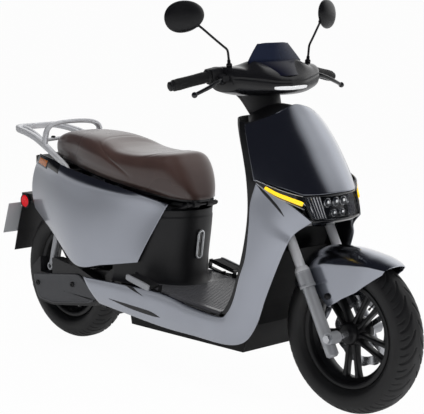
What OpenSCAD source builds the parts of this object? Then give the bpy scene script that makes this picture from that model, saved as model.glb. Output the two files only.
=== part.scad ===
// Step-through electric moped scooter with a telescopic fork, a swingarm drive unit and a hinged seat.
// Millimetres. +X is forward, +Y is the rider's left, +Z is up. The origin is on the ground under the middle.

/* [Overall] */
// Length from the front tyre to the mudguard flap
overall_length = 1822; // [1790:1:1860]
// Distance between the axles
wheelbase = 1300; // [1280:1:1320]
// Width over the leg shield
body_width = 392; // [384:1:400]

/* [Wheels] */
// Tyre outside diameter
tyre_d = 480; // [472:1:484]
// Tyre section width
tyre_w = 110; // [104:1:112]
// Bead seat diameter
rim_d = 304; // [296:1:308]
// Rim width over its flanges
rim_w = 74; // [70:1:78]
// Pairs of spokes
spoke_pairs = 5; // [4:1:6]
// Hub diameter
hub_d = 68; // [62:1:74]
// Brake disc diameter
disc_d = 220; // [200:1:226]
// Brake disc thickness
disc_t = 4; // [3:0.5:5]
// Axle diameter
axle_d = 14; // [12:1:16]

/* [Fork and steering] */
// Steering axis angle from the vertical
rake = 28; // [27:0.5:29]
// Axle ahead of the steering axis
fork_offset = 24; // [20:1:28]
// Distance between the leg centres
fork_spacing = 184; // [178:1:190]
// Upper tube diameter
tube_d = 30; // [28:1:32]
// Lower leg diameter
leg_d = 38; // [36:1:42]
// Steering stem diameter
stem_d = 25.4; // [24:0.2:28]
// Head tube diameter
head_d = 52; // [48:1:56]
// Handlebar tube diameter
bar_d = 22.2; // [20:0.1:25.4]
// Grip diameter
grip_d = 34; // [30:1:36]
// Grip length
grip_l = 128; // [120:1:134]

/* [Rear suspension] */
// Swingarm pivot behind the middle of the wheelbase
pivot_back = 330; // [320:1:340]
// Swingarm pivot height
pivot_z = 262; // [256:1:268]
// Damper tube diameter
damper_d = 24; // [22:1:25]
// Spring wire diameter
spring_wire = 5.5; // [4.5:0.1:6]
// Spring coil diameter, wire centre to wire centre
spring_d = 38; // [37:0.5:40]
// Spring turns
spring_turns = 5; // [4:1:6]

/* [Body] */
// Wall of the painted and plastic covers
wall = 3; // [2.5:0.5:3.5]
// Gap along the seams between covers
seam = 2; // [1.5:0.25:3]
// Seat height over the cushion
seat_z = 757; // [745:1:765]
// Radial gap of a turning fit
run_fit = 0.05; // [0.02:0.01:0.09]
// Gap beside a turning or sliding piece
side_gap = 0.6; // [0.4:0.1:1]

/* [Hidden] */
$fn = 48;
wheel_r = tyre_d / 2;
mid_x = overall_length / 2 - wheel_r - wheelbase / 2;
front_x = wheelbase / 2;
rear_x = -wheelbase / 2;
shield_half = body_width / 2;
drawn_half = 196;
spread = shield_half / drawn_half;
leg_y = fork_spacing / 2;
axle_r = axle_d / 2;
foot = [front_x - fork_offset * cos(rake), 0, wheel_r - fork_offset * sin(rake)];
pivot = [-pivot_back, 0, pivot_z];

// Smooth curves and sheets

function unit(v) = v / norm(v);
function flat(rows) = [for (row = rows) for (p = row) p];
function knot(tab, t, i = 0) = i >= len(tab) - 2 || t < tab[i + 1][0] ? i : knot(tab, t, i + 1);
function slope(tab, i, k) =
  let (a = max(i - 1, 0), b = min(i + 1, len(tab) - 1))
  (tab[b][k] - tab[a][k]) / (tab[b][0] - tab[a][0]);
// The point at t of a cubic curve through rows of [t, value, value ...]
function curve(tab, t) =
  let (i = knot(tab, t), h = tab[i + 1][0] - tab[i][0], s = (t - tab[i][0]) / h, q = s * s, c = q * s)
  [for (k = [1 : len(tab[0]) - 1])
    (2 * c - 3 * q + 1) * tab[i][k] + (c - 2 * q + s) * h * slope(tab, i, k)
    + (3 * q - 2 * c) * tab[i + 1][k] + (c - q) * h * slope(tab, i + 1, k)];
// The point at s on the parabola through three points
function across(a, m, b, s) = (1 - s) * (1 - 2 * s) * a + 4 * s * (1 - s) * m + s * (2 * s - 1) * b;
// A surface swept along three curves, from the first over the second to the third
function band(ta, tm, tb, n, k, t0 = 0, t1 = 1, s0 = 0, s1 = 1) =
  [for (i = [0 : n])
    let (t = t0 + (t1 - t0) * i / n, a = curve(ta, t), m = curve(tm, t), b = curve(tb, t))
    [for (j = [0 : k]) across(a, m, b, s0 + (s1 - s0) * j / k)]];
function normal(g, i, j) =
  let (n = len(g) - 1, m = len(g[0]) - 1)
  unit(cross(g[min(i + 1, n)][j] - g[max(i - 1, 0)][j], g[i][min(j + 1, m)] - g[i][max(j - 1, 0)]));
function grow(g, d) =
  [for (i = [0 : len(g) - 1]) [for (j = [0 : len(g[0]) - 1]) g[i][j] + d * normal(g, i, j)]];
function facing(g, out) =
  normal(g, floor(len(g) / 2), floor(len(g[0]) / 2)) * out < 0 ? [for (i = [len(g) - 1 : -1 : 0]) g[i]] : g;

// The solid between an outer grid and an inner grid of the same size
module slab(g, h) {
  n = len(g);
  m = len(g[0]);
  q = n * m;
  polyhedron(points = concat(flat(g), flat(h)), faces = concat(
    [for (i = [0 : n - 2]) for (j = [0 : m - 2]) [i * m + j, i * m + j + 1, (i + 1) * m + j + 1]],
    [for (i = [0 : n - 2]) for (j = [0 : m - 2]) [i * m + j, (i + 1) * m + j + 1, (i + 1) * m + j]],
    [for (i = [0 : n - 2]) for (j = [0 : m - 2]) [q + i * m + j, q + (i + 1) * m + j + 1, q + i * m + j + 1]],
    [for (i = [0 : n - 2]) for (j = [0 : m - 2]) [q + i * m + j, q + (i + 1) * m + j, q + (i + 1) * m + j + 1]],
    [for (j = [0 : m - 2]) [j + 1, j, q + j]],
    [for (j = [0 : m - 2]) [j + 1, q + j, q + j + 1]],
    [for (j = [0 : m - 2]) let (b = (n - 1) * m + j) [b, b + 1, q + b + 1]],
    [for (j = [0 : m - 2]) let (b = (n - 1) * m + j) [b, q + b + 1, q + b]],
    [for (i = [0 : n - 2]) [i * m, (i + 1) * m, q + (i + 1) * m]],
    [for (i = [0 : n - 2]) [i * m, q + (i + 1) * m, q + i * m]],
    [for (i = [0 : n - 2]) let (c = (i + 1) * m + m - 1, d = i * m + m - 1) [c, d, q + d]],
    [for (i = [0 : n - 2]) let (c = (i + 1) * m + m - 1, d = i * m + m - 1) [c, q + d, q + c]]));
}

// A sheet of thickness t whose outer face is the grid g and looks towards out
module sheet(g, t, out) {
  f = facing(g, out);
  slab(f, grow(f, -t));
}

// A solid through rings of points that turn clockwise seen from the first ring's end
module loft(rings) {
  n = len(rings);
  m = len(rings[0]);
  polyhedron(points = flat(rings), faces = concat(
    [[for (j = [0 : m - 1]) j]],
    [[for (j = [m - 1 : -1 : 0]) (n - 1) * m + j]],
    [for (i = [0 : n - 2]) for (j = [0 : m - 1])
      let (k = (j + 1) % m) [i * m + j, (i + 1) * m + j, (i + 1) * m + k]],
    [for (i = [0 : n - 2]) for (j = [0 : m - 1])
      let (k = (j + 1) % m) [i * m + j, (i + 1) * m + k, i * m + k]]));
}

// Rows of [place, x, half width, z] drawn for one width of the leg shield, spread to the width it has
function spread_out(tab) = [for (r = tab) [r[0], r[1], r[2] * spread, r[3]]];

// Placing

module on_body() {
  translate([mid_x, 0, 0]) children();
}

// The frame of the steering axis: its Z runs up the axis from beside the front axle
module on_steering() {
  on_body() translate(foot) rotate([0, -rake, 0]) children();
}

module both_sides() {
  children();
  mirror([0, 1, 0]) children();
}

// A wheel's frame: its Z runs along the axle to the left
module on_axle(x) {
  translate([x, 0, wheel_r]) rotate([-90, 0, 0]) children();
}

// A flat outline of side-view X and Z points, from y0 to y1
module side_plate(y0, y1) {
  translate([0, y1, 0]) rotate([90, 0, 0]) linear_extrude(y1 - y0) children();
}

module rod(a, b, r) {
  d = b - a;
  translate(a) rotate([0, acos(d[2] / norm(d)), atan2(d[1], d[0])]) cylinder(h = norm(d), r = r);
}

// Round bends stand a little proud of the rods that meet in them
bend_bulge = 0.4;

module bent_rod(points, r) {
  for (i = [0 : len(points) - 2]) rod(points[i], points[i + 1], r);
  for (i = [1 : len(points) - 2]) translate(points[i]) sphere(r + bend_bulge);
}

module cross_pin(x, z, y0, y1, r) {
  translate([x, y0, z]) rotate([-90, 0, 0]) cylinder(h = y1 - y0, r = r);
}

// Wheels

rim_r = rim_d / 2;
flange_r = rim_r + 11;
rim_half = rim_w / 2;
flange_t = 3.5;
seat_half = rim_half - flange_t;
disc_in = 42;
disc_y = rim_half + 8;
hub_half = 32;

module tyre() {
  half = tyre_w / 2;
  h = wheel_r - rim_r;
  bead = seat_half - run_fit;
  outer = [[rim_r + run_fit, bead], [flange_r + 1, bead], [flange_r + 4, bead + 5], [rim_r + 0.3 * h, half - 5],
    [rim_r + 0.45 * h, half - 0.6], [rim_r + 0.55 * h, half], [rim_r + 0.68 * h, half - 1.6],
    [rim_r + 0.79 * h, half - 7], [rim_r + 0.885 * h, half - 17], [rim_r + 0.955 * h, half - 28],
    [wheel_r - 0.8, half - 37], [wheel_r, half - 41]];
  inner = [[rim_r + 0.9 * h, 0], [rim_r + 0.88 * h, half - 34], [rim_r + 0.78 * h, half - 18],
    [rim_r + 0.6 * h, half - 9], [rim_r + 0.4 * h, half - 11], [rim_r + 14, bead - 6], [rim_r + run_fit, bead - 9]];
  ring = concat([for (p = outer) p], [for (i = [len(outer) - 1 : -1 : 0]) [outer[i][0], -outer[i][1]]],
    [for (i = [len(inner) - 1 : -1 : 1]) [inner[i][0], -inner[i][1]]], [for (p = inner) p]);
  rotate_extrude($fn = 96) polygon(ring);
}

module rim(hub_r, bore_r, left_flange) {
  well = rim_r - 14;
  half_profile = [[flange_r, rim_half], [flange_r, seat_half], [rim_r, seat_half], [rim_r, seat_half - 11],
    [rim_r - 2, 18], [well, 12]];
  inside = [[well - 5, 13], [rim_r - 7, 19], [rim_r - 5, rim_half - 2], [flange_r - 5, rim_half]];
  profile = concat(half_profile, [for (i = [len(half_profile) - 1 : -1 : 0]) [half_profile[i][0], -half_profile[i][1]]],
    [for (i = [len(inside) - 1 : -1 : 0]) [inside[i][0], -inside[i][1]]], inside);
  reach = well - 2;
  difference() {
    union() {
      rotate_extrude($fn = 96) polygon(profile);
      linear_extrude(24, center = true)
        for (i = [0 : spoke_pairs - 1]) rotate(90 + i * 360 / spoke_pairs)
          for (s = [-1, 1]) polygon([[hub_r - 8, 3 * s], [hub_r - 8, 17 * s], [reach, 30 * s], [reach, 15 * s]]);
      cylinder(h = 2 * hub_half, r = hub_r, center = true);
      cylinder(h = disc_y - disc_t / 2, r = left_flange);
    }
    cylinder(h = 4 * hub_half, r = bore_r, center = true);
  }
}

// A disc with a wavy edge, an open ring and five arms to its bolts
module brake_disc() {
  waves = 12;
  steps = 96;
  arm = 16;
  rim_in = disc_d / 2 - 30;
  translate([0, 0, disc_y - disc_t / 2]) linear_extrude(disc_t) {
    difference() {
      polygon([for (i = [0 : steps - 1]) let (a = i * 360 / steps)
        (disc_d / 2 - 3 + 3 * cos(waves * a)) * [cos(a), sin(a)]]);
      circle(rim_in);
    }
    difference() {
      union() {
        circle(disc_in);
        for (i = [0 : 4]) rotate(i * 72 + 36) translate([0, -arm / 2]) square([rim_in + 4, arm]);
      }
      circle(disc_in - 16);
      for (i = [0 : 4]) rotate(i * 72 + 36) translate([disc_in - 8, 0]) circle(4);
    }
  }
}

bore_r = axle_r + run_fit;

module front_tyre() {
  color([0.09, 0.09, 0.095]) on_body() on_axle(front_x) tyre();
}

module front_rim() {
  color([0.12, 0.12, 0.125]) on_body() on_axle(front_x) rim(hub_d / 2, bore_r, disc_in);
}

module front_disc() {
  color([0.62, 0.63, 0.65]) on_body() on_axle(front_x) brake_disc();
}

module rear_tyre() {
  color([0.09, 0.09, 0.095]) on_body() on_axle(rear_x) tyre();
}

module rear_rim() {
  color([0.12, 0.12, 0.125]) on_body() on_axle(rear_x) rim(hub_d / 2, bore_r, disc_in);
}

module rear_disc() {
  color([0.62, 0.63, 0.65]) on_body() on_axle(rear_x) brake_disc();
}

// Fork

yoke_low = 352;
yoke_top = 382;
leg_low = -46;
leg_top = 214;
collar_low = 168;
collar_r = leg_d / 2 + 4;
tube_low = 112;
bore_low = 44;
lug_in = leg_y - leg_d / 2;
lug_out = leg_y + leg_d / 2 + 2;
lug_r = 18;
stem_top = 826;
head_low = yoke_top + 3;
head_top = 560;
bearing_h = 14;
head_bore_r = head_d / 2 - 5;

module fork_crown() {
  color([0.72, 0.73, 0.75]) on_steering() {
    translate([0, 0, yoke_low]) cylinder(h = stem_top - yoke_low, r = stem_d / 2);
    translate([0, 0, yoke_low]) linear_extrude(yoke_top - yoke_low) {
      square([40, fork_spacing], center = true);
      circle(27);
      for (s = [-1, 1]) translate([0, s * leg_y]) circle(tube_d / 2 + 9);
    }
    for (s = [-1, 1]) translate([0, s * leg_y, tube_low]) cylinder(h = yoke_top + 6 - tube_low, r = tube_d / 2);
  }
}

module fork_legs() {
  color([0.7, 0.71, 0.73]) on_steering() for (s = [-1, 1]) difference() {
    union() {
      translate([0, s * leg_y, leg_low]) cylinder(h = leg_top - leg_low, r = leg_d / 2);
      translate([0, s * leg_y, collar_low]) cylinder(h = leg_top - collar_low, r = collar_r);
      translate([0, s * leg_y, leg_low - 6]) cylinder(h = 6, r1 = leg_d / 2 - 7, r2 = leg_d / 2);
      translate([fork_offset, s > 0 ? lug_in : -lug_out, 0]) rotate([-90, 0, 0]) cylinder(h = lug_out - lug_in, r = lug_r);
    }
    translate([0, s * leg_y, bore_low]) cylinder(h = leg_top, r = tube_d / 2 + run_fit);
    translate([fork_offset, s > 0 ? lug_in - 1 : -lug_out - 1, 0]) rotate([-90, 0, 0])
      cylinder(h = lug_out - lug_in + 2, r = axle_r + run_fit);
  }
}

module front_axle() {
  head = 10;
  color([0.75, 0.76, 0.78]) on_body() on_axle(front_x) {
    cylinder(h = 2 * (lug_out + head), r = axle_r, center = true);
    for (s = [0, 1]) mirror([0, 0, s]) {
      translate([0, 0, lug_out]) cylinder(h = head, r = 13, $fn = 6);
      translate([0, 0, s == 0 ? disc_y : hub_half + side_gap])
        cylinder(h = lug_in - (s == 0 ? disc_y : hub_half + side_gap), r = axle_r + 5);
    }
  }
}

caliper_gap = 1;

// A two-piston caliper body astride the disc, on an arm that ends at the given side face
module caliper(arm_to) {
  half = disc_t / 2 + caliper_gap;
  reach = disc_d / 2;
  difference() {
    union() {
      translate([reach - 32, -38, disc_y - 18]) cube([44, 76, 30]);
      for (s = [-1, 1]) translate([reach - 14, s * 18, disc_y + 12]) cylinder(h = 9, r = 15);
    }
    translate([reach - 60, -50, disc_y - half]) cube([60 + side_gap + 3, 100, 2 * half]);
  }
  translate([reach - 8, -12, disc_y + 10]) cube([20, 24, arm_to - disc_y - 10]);
}

module front_caliper() {
  color([0.2, 0.2, 0.21]) on_body() on_axle(front_x) rotate(-136) caliper(lug_in + 1.5);
}

// Front mudguard: angles round the axle, depth of the side and half width

fender_r = wheel_r + 28;
fender_round = 22;
fender_plan = [[57, fender_r - 30, 58], [64, 216, 65], [74, 166, 67], [86, 124, 67], [97, 97, 67], [106, 92, 67],
  [112, 102, 67], [118, 150, 67], [125, 190, 66], [131, 214, 64]];

function fender_point(a, s) =
  let (c = curve(fender_plan, a), k = abs(s), top = fender_r - fender_round, turn = min(1, k / 0.5) * 90,
    r = k < 0.5 ? top + fender_round * cos(turn) : top - (top - c[0]) * (k - 0.5) / 0.5,
    y = k < 0.5 ? c[1] * sin(turn) : c[1])
  [front_x + r * cos(a), sign(s) * y, wheel_r + r * sin(a)];

module front_fender() {
  n = 18;
  g = [for (i = [0 : n]) let (a = 57 + 74 * i / n) [for (j = [-8 : 8]) fender_point(a, j / 8)]];
  color([0.52, 0.54, 0.58]) on_body() {
    sheet(g, wall, [0, 0, 1]);
    both_sides() translate([front_x, 0, wheel_r]) rotate([0, -109, 0])
      translate([116, 67, 0]) rotate([-90, 0, 0]) cylinder(h = lug_in - 67, r = 8);
  }
}

// Main frame

rail_y = 110;
rail_z = 225;
rail_r = 16;
arm_out = 95;
plate_in = arm_out + side_gap;
plate_out = plate_in + 12;
pivot_r = 8;
tray_z = 300;
post = [-70, 60];
down_x = 306;
hinge = [2, 0, seat_z - 204];
hinge_r = 5;
stand = [-215, 0, 180];
stand_r = 6;
stand_half = 92;
peg_x = -75;
peg_y = 168;
peg_z = 312;
peg_l = 112;
peg_slope = 11.5;
peg_pin_r = 3;
peg_ear = 5;
peg_barrel_r = 8;
shock_y = 106;
shock_top = [-582, shock_y, 556];
shock_low = [-664, shock_y, 268];
eye_pin_r = 6;

module main_frame() {
  color([0.13, 0.13, 0.14]) {
    difference() {
      union() {
        on_steering() translate([0, 0, head_low]) cylinder(h = head_top - head_low, r = head_d / 2);
        on_body() {
          rod([404, 0, 640], [down_x, 0, rail_z], 22);
          rod([396, 0, 676], [348, 0, 480], 16);
          rod([376, 0, 702], [524, 0, 730], 9);
          rod([480, 0, 722], [543, 0, 636], 8);
          rod([376, 0, 696], [308, 0, 696], 9);
          cross_pin(down_x, rail_z, -rail_y, rail_y, rail_r + 3);
          cross_pin(-120, rail_z, -rail_y, rail_y, rail_r - 2);
        }
      }
      on_steering() cylinder(h = 900, r = head_bore_r);
    }
    on_body() {
      both_sides() {
        bent_rod([[down_x, rail_y, rail_z], [-235, rail_y, rail_z], [-288, rail_y + 4, 330], [-268, shock_y, 545],
          [-640, 92, 618]], rail_r);
        difference() {
          side_plate(plate_in, plate_out) polygon([[-200, rail_z - 12], [-330, 226], [-364, 240], [-366, 276],
            [-340, 298], [-284, 330], [-230, 240]]);
          cross_pin(-pivot_back, pivot_z, 0, 200, pivot_r - 0.5);
        }
        side_plate(stand_half + side_gap + 2, stand_half + side_gap + 10) polygon([[-190, rail_z], [-240, rail_z],
          [-228, 166], [-202, 166]]);
        translate([peg_x, 0, 0]) {
          rod([0, rail_y, rail_z + 6], [0, rail_y + 10, 275], 8);
          rod([0, rail_y + 6, 270], [0, peg_y + 9, 270], 7);
          rod([0, peg_y + 4, 274], [0, peg_y + 4, peg_z - 18], 8);
          translate([0, peg_y, peg_z]) rotate([0, peg_slope, 0]) {
            rotate([0, 90, 0]) cylinder(h = peg_l + 2 * (side_gap + peg_ear), r = peg_pin_r, center = true);
            translate([-peg_l / 2 - side_gap - peg_ear, -7, -26]) cube([peg_l + 2 * (side_gap + peg_ear), 14, 6]);
            for (s = [0, 1]) mirror([s, 0, 0]) translate([peg_l / 2 + side_gap, -7, -26]) cube([peg_ear, 14, 32]);
          }
        }
        translate([shock_top[0], 0, 0]) {
          rod([0, 92, 604], [0, 84, shock_top[2]], 9);
          cross_pin(0, shock_top[2], 78, shock_y + 16, eye_pin_r);
        }
        rod([post[0], post[1], rail_z], [post[0], post[1], hinge[2] - 19], 9);
        rod([post[0], post[1], hinge[2] - 25], [hinge[0], post[1], hinge[2]], 8);
        rod([post[0], post[1], 480], [-29.5, post[1], 480], 6);
        translate([-535, 0, 0]) rod([0, 100, 599], [0, 129, 613], 7);
        translate([-535, 129, 608]) cylinder(h = rack_low - 608, r = 7.5);
        for (x = [40, 200]) translate([x, rail_y, belly_z]) cylinder(h = floor_z(x + 8) - belly_z, r = 8);
        for (x = [-120, 200]) cross_pin(x, rail_z, rail_y + 5, (x > 0 ? 190 : 185) * spread, 7);
        rod([-420, 100, 575], [-420, 158, 575], 7);
        rod([-281, 111, 400], [-281, 159, 400], 7);
        rod([-640, 42, 616], [tail_x + wall + 0.5, 42, 616], 8);
      }
      cross_pin(post[0], rail_z, -rail_y, rail_y, 12);
      cross_pin(hinge[0], hinge[2], -66, 66, hinge_r);
      cross_pin(-pivot_back, pivot_z, -plate_out - 6, plate_out + 6, pivot_r);
      cross_pin(stand[0], stand[2], -stand_half - 14, stand_half + 14, stand_r);
      cross_pin(-640, 616, -94, 94, rail_r - 4);
      translate([-252, -113, tray_z - 6]) cube([134, 226, 6]);
      both_sides() rod([-220, 112, tray_z - 12], [-262, 112, tray_z - 12], 8);
      both_sides() rod([-124, post[1], tray_z - 10], [post[0], post[1], tray_z - 10], 7);
    }
  }
}

module headset_bearings() {
  color([0.6, 0.61, 0.63]) on_steering() for (z = [head_low, head_top - bearing_h])
    translate([0, 0, z]) difference() {
      cylinder(h = bearing_h, r = head_bore_r - run_fit);
      translate([0, 0, -1]) cylinder(h = bearing_h + 2, r = stem_d / 2 + run_fit);
    }
}

// Leg shield: height, rear edge x, half width and nose x of the painted front

shield = [[600, 412, shield_half, 606], [650, 410, shield_half, 583], [690, 404, shield_half - 1, 561],
  [753, 383, shield_half - 8, 522], [800, 361, shield_half - 19, 492], [843, 338, shield_half - 34, 460],
  [872, 322, shield_half - 56, 437], [900, 306, shield_half - 92, 409]];
shield_power = 3.2;

function shield_point(z, u) =
  let (c = curve(shield, z))
  [c[0] + (c[2] - c[0]) * (1 - pow(abs(u), shield_power)), c[1] * u, z];
function apron_top(u) = 900 - 57 * u * u;
function apron_low(u) = 650 + 40 * max(0, (abs(u) - 0.6) / 0.4);

module front_apron() {
  g = [for (i = [0 : 14]) [for (j = [-13 : 13]) let (u = j / 13 - 0.03 * sign(j) * pow(abs(j / 13), 9))
    shield_point(apron_top(u) + (apron_low(u) - apron_top(u)) * i / 14, u)]];
  color([0.52, 0.54, 0.58]) on_body() sheet(g, wall, [1, 0, 0]);
}

// Side skirt: wheel arch edge, middle and rider's edge, from the lamp down and back along the floor

skirt_front = spread_out([[0, 579, 109, 572], [0.08, 532, 132, 534], [0.14, 518, 150, 500], [0.26, 480, 160, 410],
  [0.36, 448, 166, 331], [0.47, 418, 171, 250], [0.55, 375, 177, 192], [0.63, 304, 181, 170],
  [0.76, 150, 183, 172], [0.88, -11, 181, 175], [1, -319, 172, 196]]);
skirt_mid = spread_out([[0, 548, 129, 612], [0.08, 478, 178, 576], [0.14, 468, 184, 528], [0.26, 440, 188, 432],
  [0.36, 408, 190, 360], [0.47, 380, 191, 285], [0.55, 345, 192, 234], [0.63, 292, 193, 213],
  [0.76, 150, 194, 219], [0.88, -15, 193, 232], [1, -355, 186, 239]]);
skirt_rear = spread_out([[0, 434, 195, 680], [0.08, 412, drawn_half, 618], [0.14, 407, drawn_half, 557],
  [0.26, 391, 195, 455], [0.36, 365, 194, 390], [0.47, 338, 191, 318],
  [0.55, 312, 190, 276], [0.63, 279, 190, 256], [0.76, 150, 189, 266], [0.88, -18, 188, 288],
  [1, -391, 184, 281]]);

module side_skirt() {
  color([0.52, 0.54, 0.58]) on_body() sheet(band(skirt_front, skirt_mid, skirt_rear, 44, 6), wall, [0, 1, 0]);
}

module side_skirt_left() {
  side_skirt();
}

module side_skirt_right() {
  mirror([0, 1, 0]) side_skirt();
}

// Rider's side of the leg shield: height, edge x, half width, middle x

inner_shield = spread_out([[262, 272, 178, 262], [290, 300, 184, 274], [330, 326, 186, 288], [400, 352, 187, 300],
  [480, 376, 188, 312], [560, 392, 189, 318], [620, 396, 189, 314], [690, 388, 187, 302], [753, 366, 178, 280],
  [800, 345, 168, 258], [838, 326, 154, 238], [856, 314, 140, 228]]);

module inner_leg_shield() {
  g = [for (i = [0 : 20]) let (z = 262 + 594 * i / 20, c = curve(inner_shield, z))
    [for (j = [-8 : 8]) let (u = j / 8) [c[0] - (c[0] - c[2]) * (1 - pow(abs(u), 2.6)), c[1] * u, z]]];
  hole_r = 62;
  hole_z = 726;
  cap = [for (i = [0 : 6]) [for (j = [-10 : 10])
    let (u = j / 10, f = i / 6, a = 118 * u,
      p = shield_point(apron_top(u * 0.94) - 8, u * 0.94),
      q = foot + [hole_r * cos(a) * cos(rake) - hole_z * sin(rake), hole_r * sin(a),
        hole_r * cos(a) * sin(rake) + hole_z * cos(rake)],
      e = [p[0] - 7 * (1 - pow(abs(u), 4)), p[1] * 0.965, p[2]])
    e + (q - e) * f + [0, 0, 10 * sin(180 * f)]]];
  color([0.1, 0.1, 0.105]) on_body() {
    sheet(g, wall, [-1, 0, 0]);
    sheet(cap, wall, [0, 0, 1]);
  }
}

// Wheel arch, belly pan and floor

arch = [620, 300];
arch_r = 260;
arch_half = 148 * spread;
belly_z = 150;

module underbody() {
  top_a = 143;
  low_a = 195;
  steps = 14;
  function arc(r) = [for (i = [0 : steps]) let (a = top_a + (low_a - top_a) * i / steps)
    arch + r * [cos(a), sin(a)]];
  function turned(l) = [for (i = [len(l) - 1 : -1 : 0]) l[i]];
  outer = concat(arc(arch_r + wall), [[334, belly_z], [-178, belly_z], [-186, 186]]);
  inner = concat(arc(arch_r), [[338, belly_z - wall], [-181, belly_z - wall], [-189, 186]]);
  color([0.08, 0.08, 0.085]) on_body() {
    side_plate(-arch_half, arch_half) polygon(concat(outer, turned(inner)));
    both_sides() side_plate(arch_half - wall, arch_half) polygon([[336, belly_z - 1], [-178, belly_z - 1], [-185, 188],
      [352, 188]]);
  }
}

floor_half = 172 * spread;
floor_line = [[256, 255], [-150, 288.6]];
floor_t = 8;
function floor_z(x) = floor_line[0][1] + (x - floor_line[0][0]) / (floor_line[1][0] - floor_line[0][0])
  * (floor_line[1][1] - floor_line[0][1]);

// Two arms of the floor run back under the cover, one step below its walking face, and pass inside the pegs
module floorboard() {
  grooves = 9;
  pitch = 30;
  groove_end = 6;
  arm_in = 95;
  arm_out = 158;
  arm_x = -18;
  tray_x = -108;
  step_x = 0;
  step_d = 1.5;
  color([0.16, 0.16, 0.165]) on_body() difference() {
    side_plate(-floor_half, floor_half) polygon([floor_line[0], floor_line[1], floor_line[1] + [0, floor_t],
      floor_line[0] + [0, floor_t]]);
    for (i = [0 : grooves - 1]) translate([0, (i - (grooves - 1) / 2) * pitch, 0])
      side_plate(-3, 3) polygon([floor_line[0] + [-30, floor_t + 0.5], [groove_end, floor_z(groove_end) + floor_t - 2],
        [groove_end, floor_z(groove_end) + floor_t + 8], floor_line[0] + [-30, floor_t + 8]]);
    side_plate(-floor_half - 5, floor_half + 5) polygon([[step_x, floor_z(step_x) + floor_t - step_d],
      [-200, floor_z(-200) + floor_t - step_d], [-200, 340], [step_x, 340]]);
    translate([arm_x - 200, -arm_in, 200]) cube([200, 2 * arm_in, 150]);
    translate([tray_x - 200, -arm_in - 23, 200]) cube([200, 2 * (arm_in + 23), 150]);
    both_sides() translate([15 - 200, arm_out, 200]) cube([200, 100, 150]);
  }
}

// Head lamp and front indicators

lamp = spread_out([[574, 578, 102, 606], [645, 548, 117, 585]]);

function lamp_point(v, u, back) =
  let (c = lamp[0] + (lamp[1] - lamp[0]) * v)
  [c[3] + (c[1] - c[3]) * pow(abs(u), 2.4) - back, c[2] * u, c[0]];

module headlight_lens() {
  g = [for (i = [0 : 4]) [for (j = [-9 : 9]) lamp_point(i / 4, j / 9, 0)]];
  color([0.75, 0.8, 0.85, 0.4]) on_body() sheet(g, wall, [1, 0, 0]);
}

module headlight_housing() {
  near = [for (i = [0 : 4]) [for (j = [-9 : 9]) lamp_point(i / 4, j / 9, 26)]];
  far = [for (i = [0 : 4]) [for (j = [-9 : 9]) lamp_point(i / 4, j / 9, 36)]];
  color([0.1, 0.1, 0.11]) on_body() {
    slab(facing(near, [1, 0, 0]), facing(far, [1, 0, 0]));
    for (y = [-34, 0, 34]) translate([lamp[0][3] - 44, y, 622]) rotate([0, 90, 0]) cylinder(h = 16, r = 15);
    for (y = [-19, 19]) translate([lamp[0][3] - 36, y, 591]) rotate([0, 90, 0]) cylinder(h = 14, r = 12);
  }
}

indicator_low = spread_out([[0, 546, 132, 619], [0.5, 494, 178, 650], [1, 438, 196, 685]]);
indicator_high = spread_out([[0, 545, 127, 646], [0.5, 497, 176, 667], [1, 438, 196, 687]]);

module front_indicators() {
  g = [for (i = [0 : 10]) let (a = curve(indicator_low, i / 10), b = curve(indicator_high, i / 10))
    [for (j = [0 : 3]) a + (b - a) * j / 3]];
  color([0.95, 0.75, 0.2]) on_body() both_sides() sheet(g, wall, [1, 1, 0]);
}

// Cover under the seat: height, front x, half width, rear x

base_cover = [[282, -22, 152, -330], [330, -21, 152, -330], [371, -20, 151, -320], [465, -6, 150, -300],
  [520, 1, 150, -300], [540, 2, 149, -300]];
base_power = 0.86;
base_top = 534;

function base_point(z, a) =
  let (c = curve(base_cover, z))
  [c[2] + (c[0] - c[2]) * pow(cos(a), base_power), c[1] * sign(a) * pow(abs(sin(a)), base_power), z];

// The lower edge follows the floor
module seat_base_cover() {
  g = [for (i = [0 : 10]) [for (j = [-16 : 16])
    let (w = j / 16, a = 82 * sign(w) * pow(abs(w), 0.9), low = floor_z(base_point(290, a)[0]) + floor_t + seam)
    base_point(low + (base_top - low) * i / 10, a)]];
  color([0.09, 0.09, 0.095]) on_body() sheet(g, wall, [1, 0, 0]);
}

module stadium(l, r) {
  for (s = [-1, 1]) translate([0, s * (l / 2 - r)]) circle(r);
  square([2 * r, l - 2 * r], center = true);
}

module slot_trim() {
  tilt = atan2(14, 94);
  color([0.75, 0.76, 0.78]) on_body() translate([-13 + side_gap, 0, 418]) rotate([0, 90 + tilt, 0]) rotate(90)
    linear_extrude(5) difference() {
      stadium(100, 15);
      stadium(84, 8);
    }
}

// Side panel: lower edge, widest line and upper edge, from the tail to the front tip

panel_low = [[0, -777, 92, 462], [0.25, -620, 126, 384], [0.5, -464, 158, 306], [0.75, -310, 160, 328],
  [1, -154, 145, 356]];
panel_mid = [[0, -782, 98, 560], [0.25, -620, 146, 520], [0.5, -450, 172, 480], [0.75, -268, 165, 466],
  [1, -109, 133, 440]];
panel_high = [[0, -735, 95, 662], [0.2, -620, 128, 654], [0.38, -511, 150, 637], [0.6, -312, 158, 610],
  [0.8, -159, 150, 587], [1, -49, 103, 556]];

module side_panel() {
  color([0.52, 0.54, 0.58]) on_body() sheet(band(panel_low, panel_mid, panel_high, 26, 8), wall, [0, 1, 0]);
}

module side_panel_left() {
  side_panel();
}

module side_panel_right() {
  mirror([0, 1, 0]) side_panel();
}

// Tail

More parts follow.
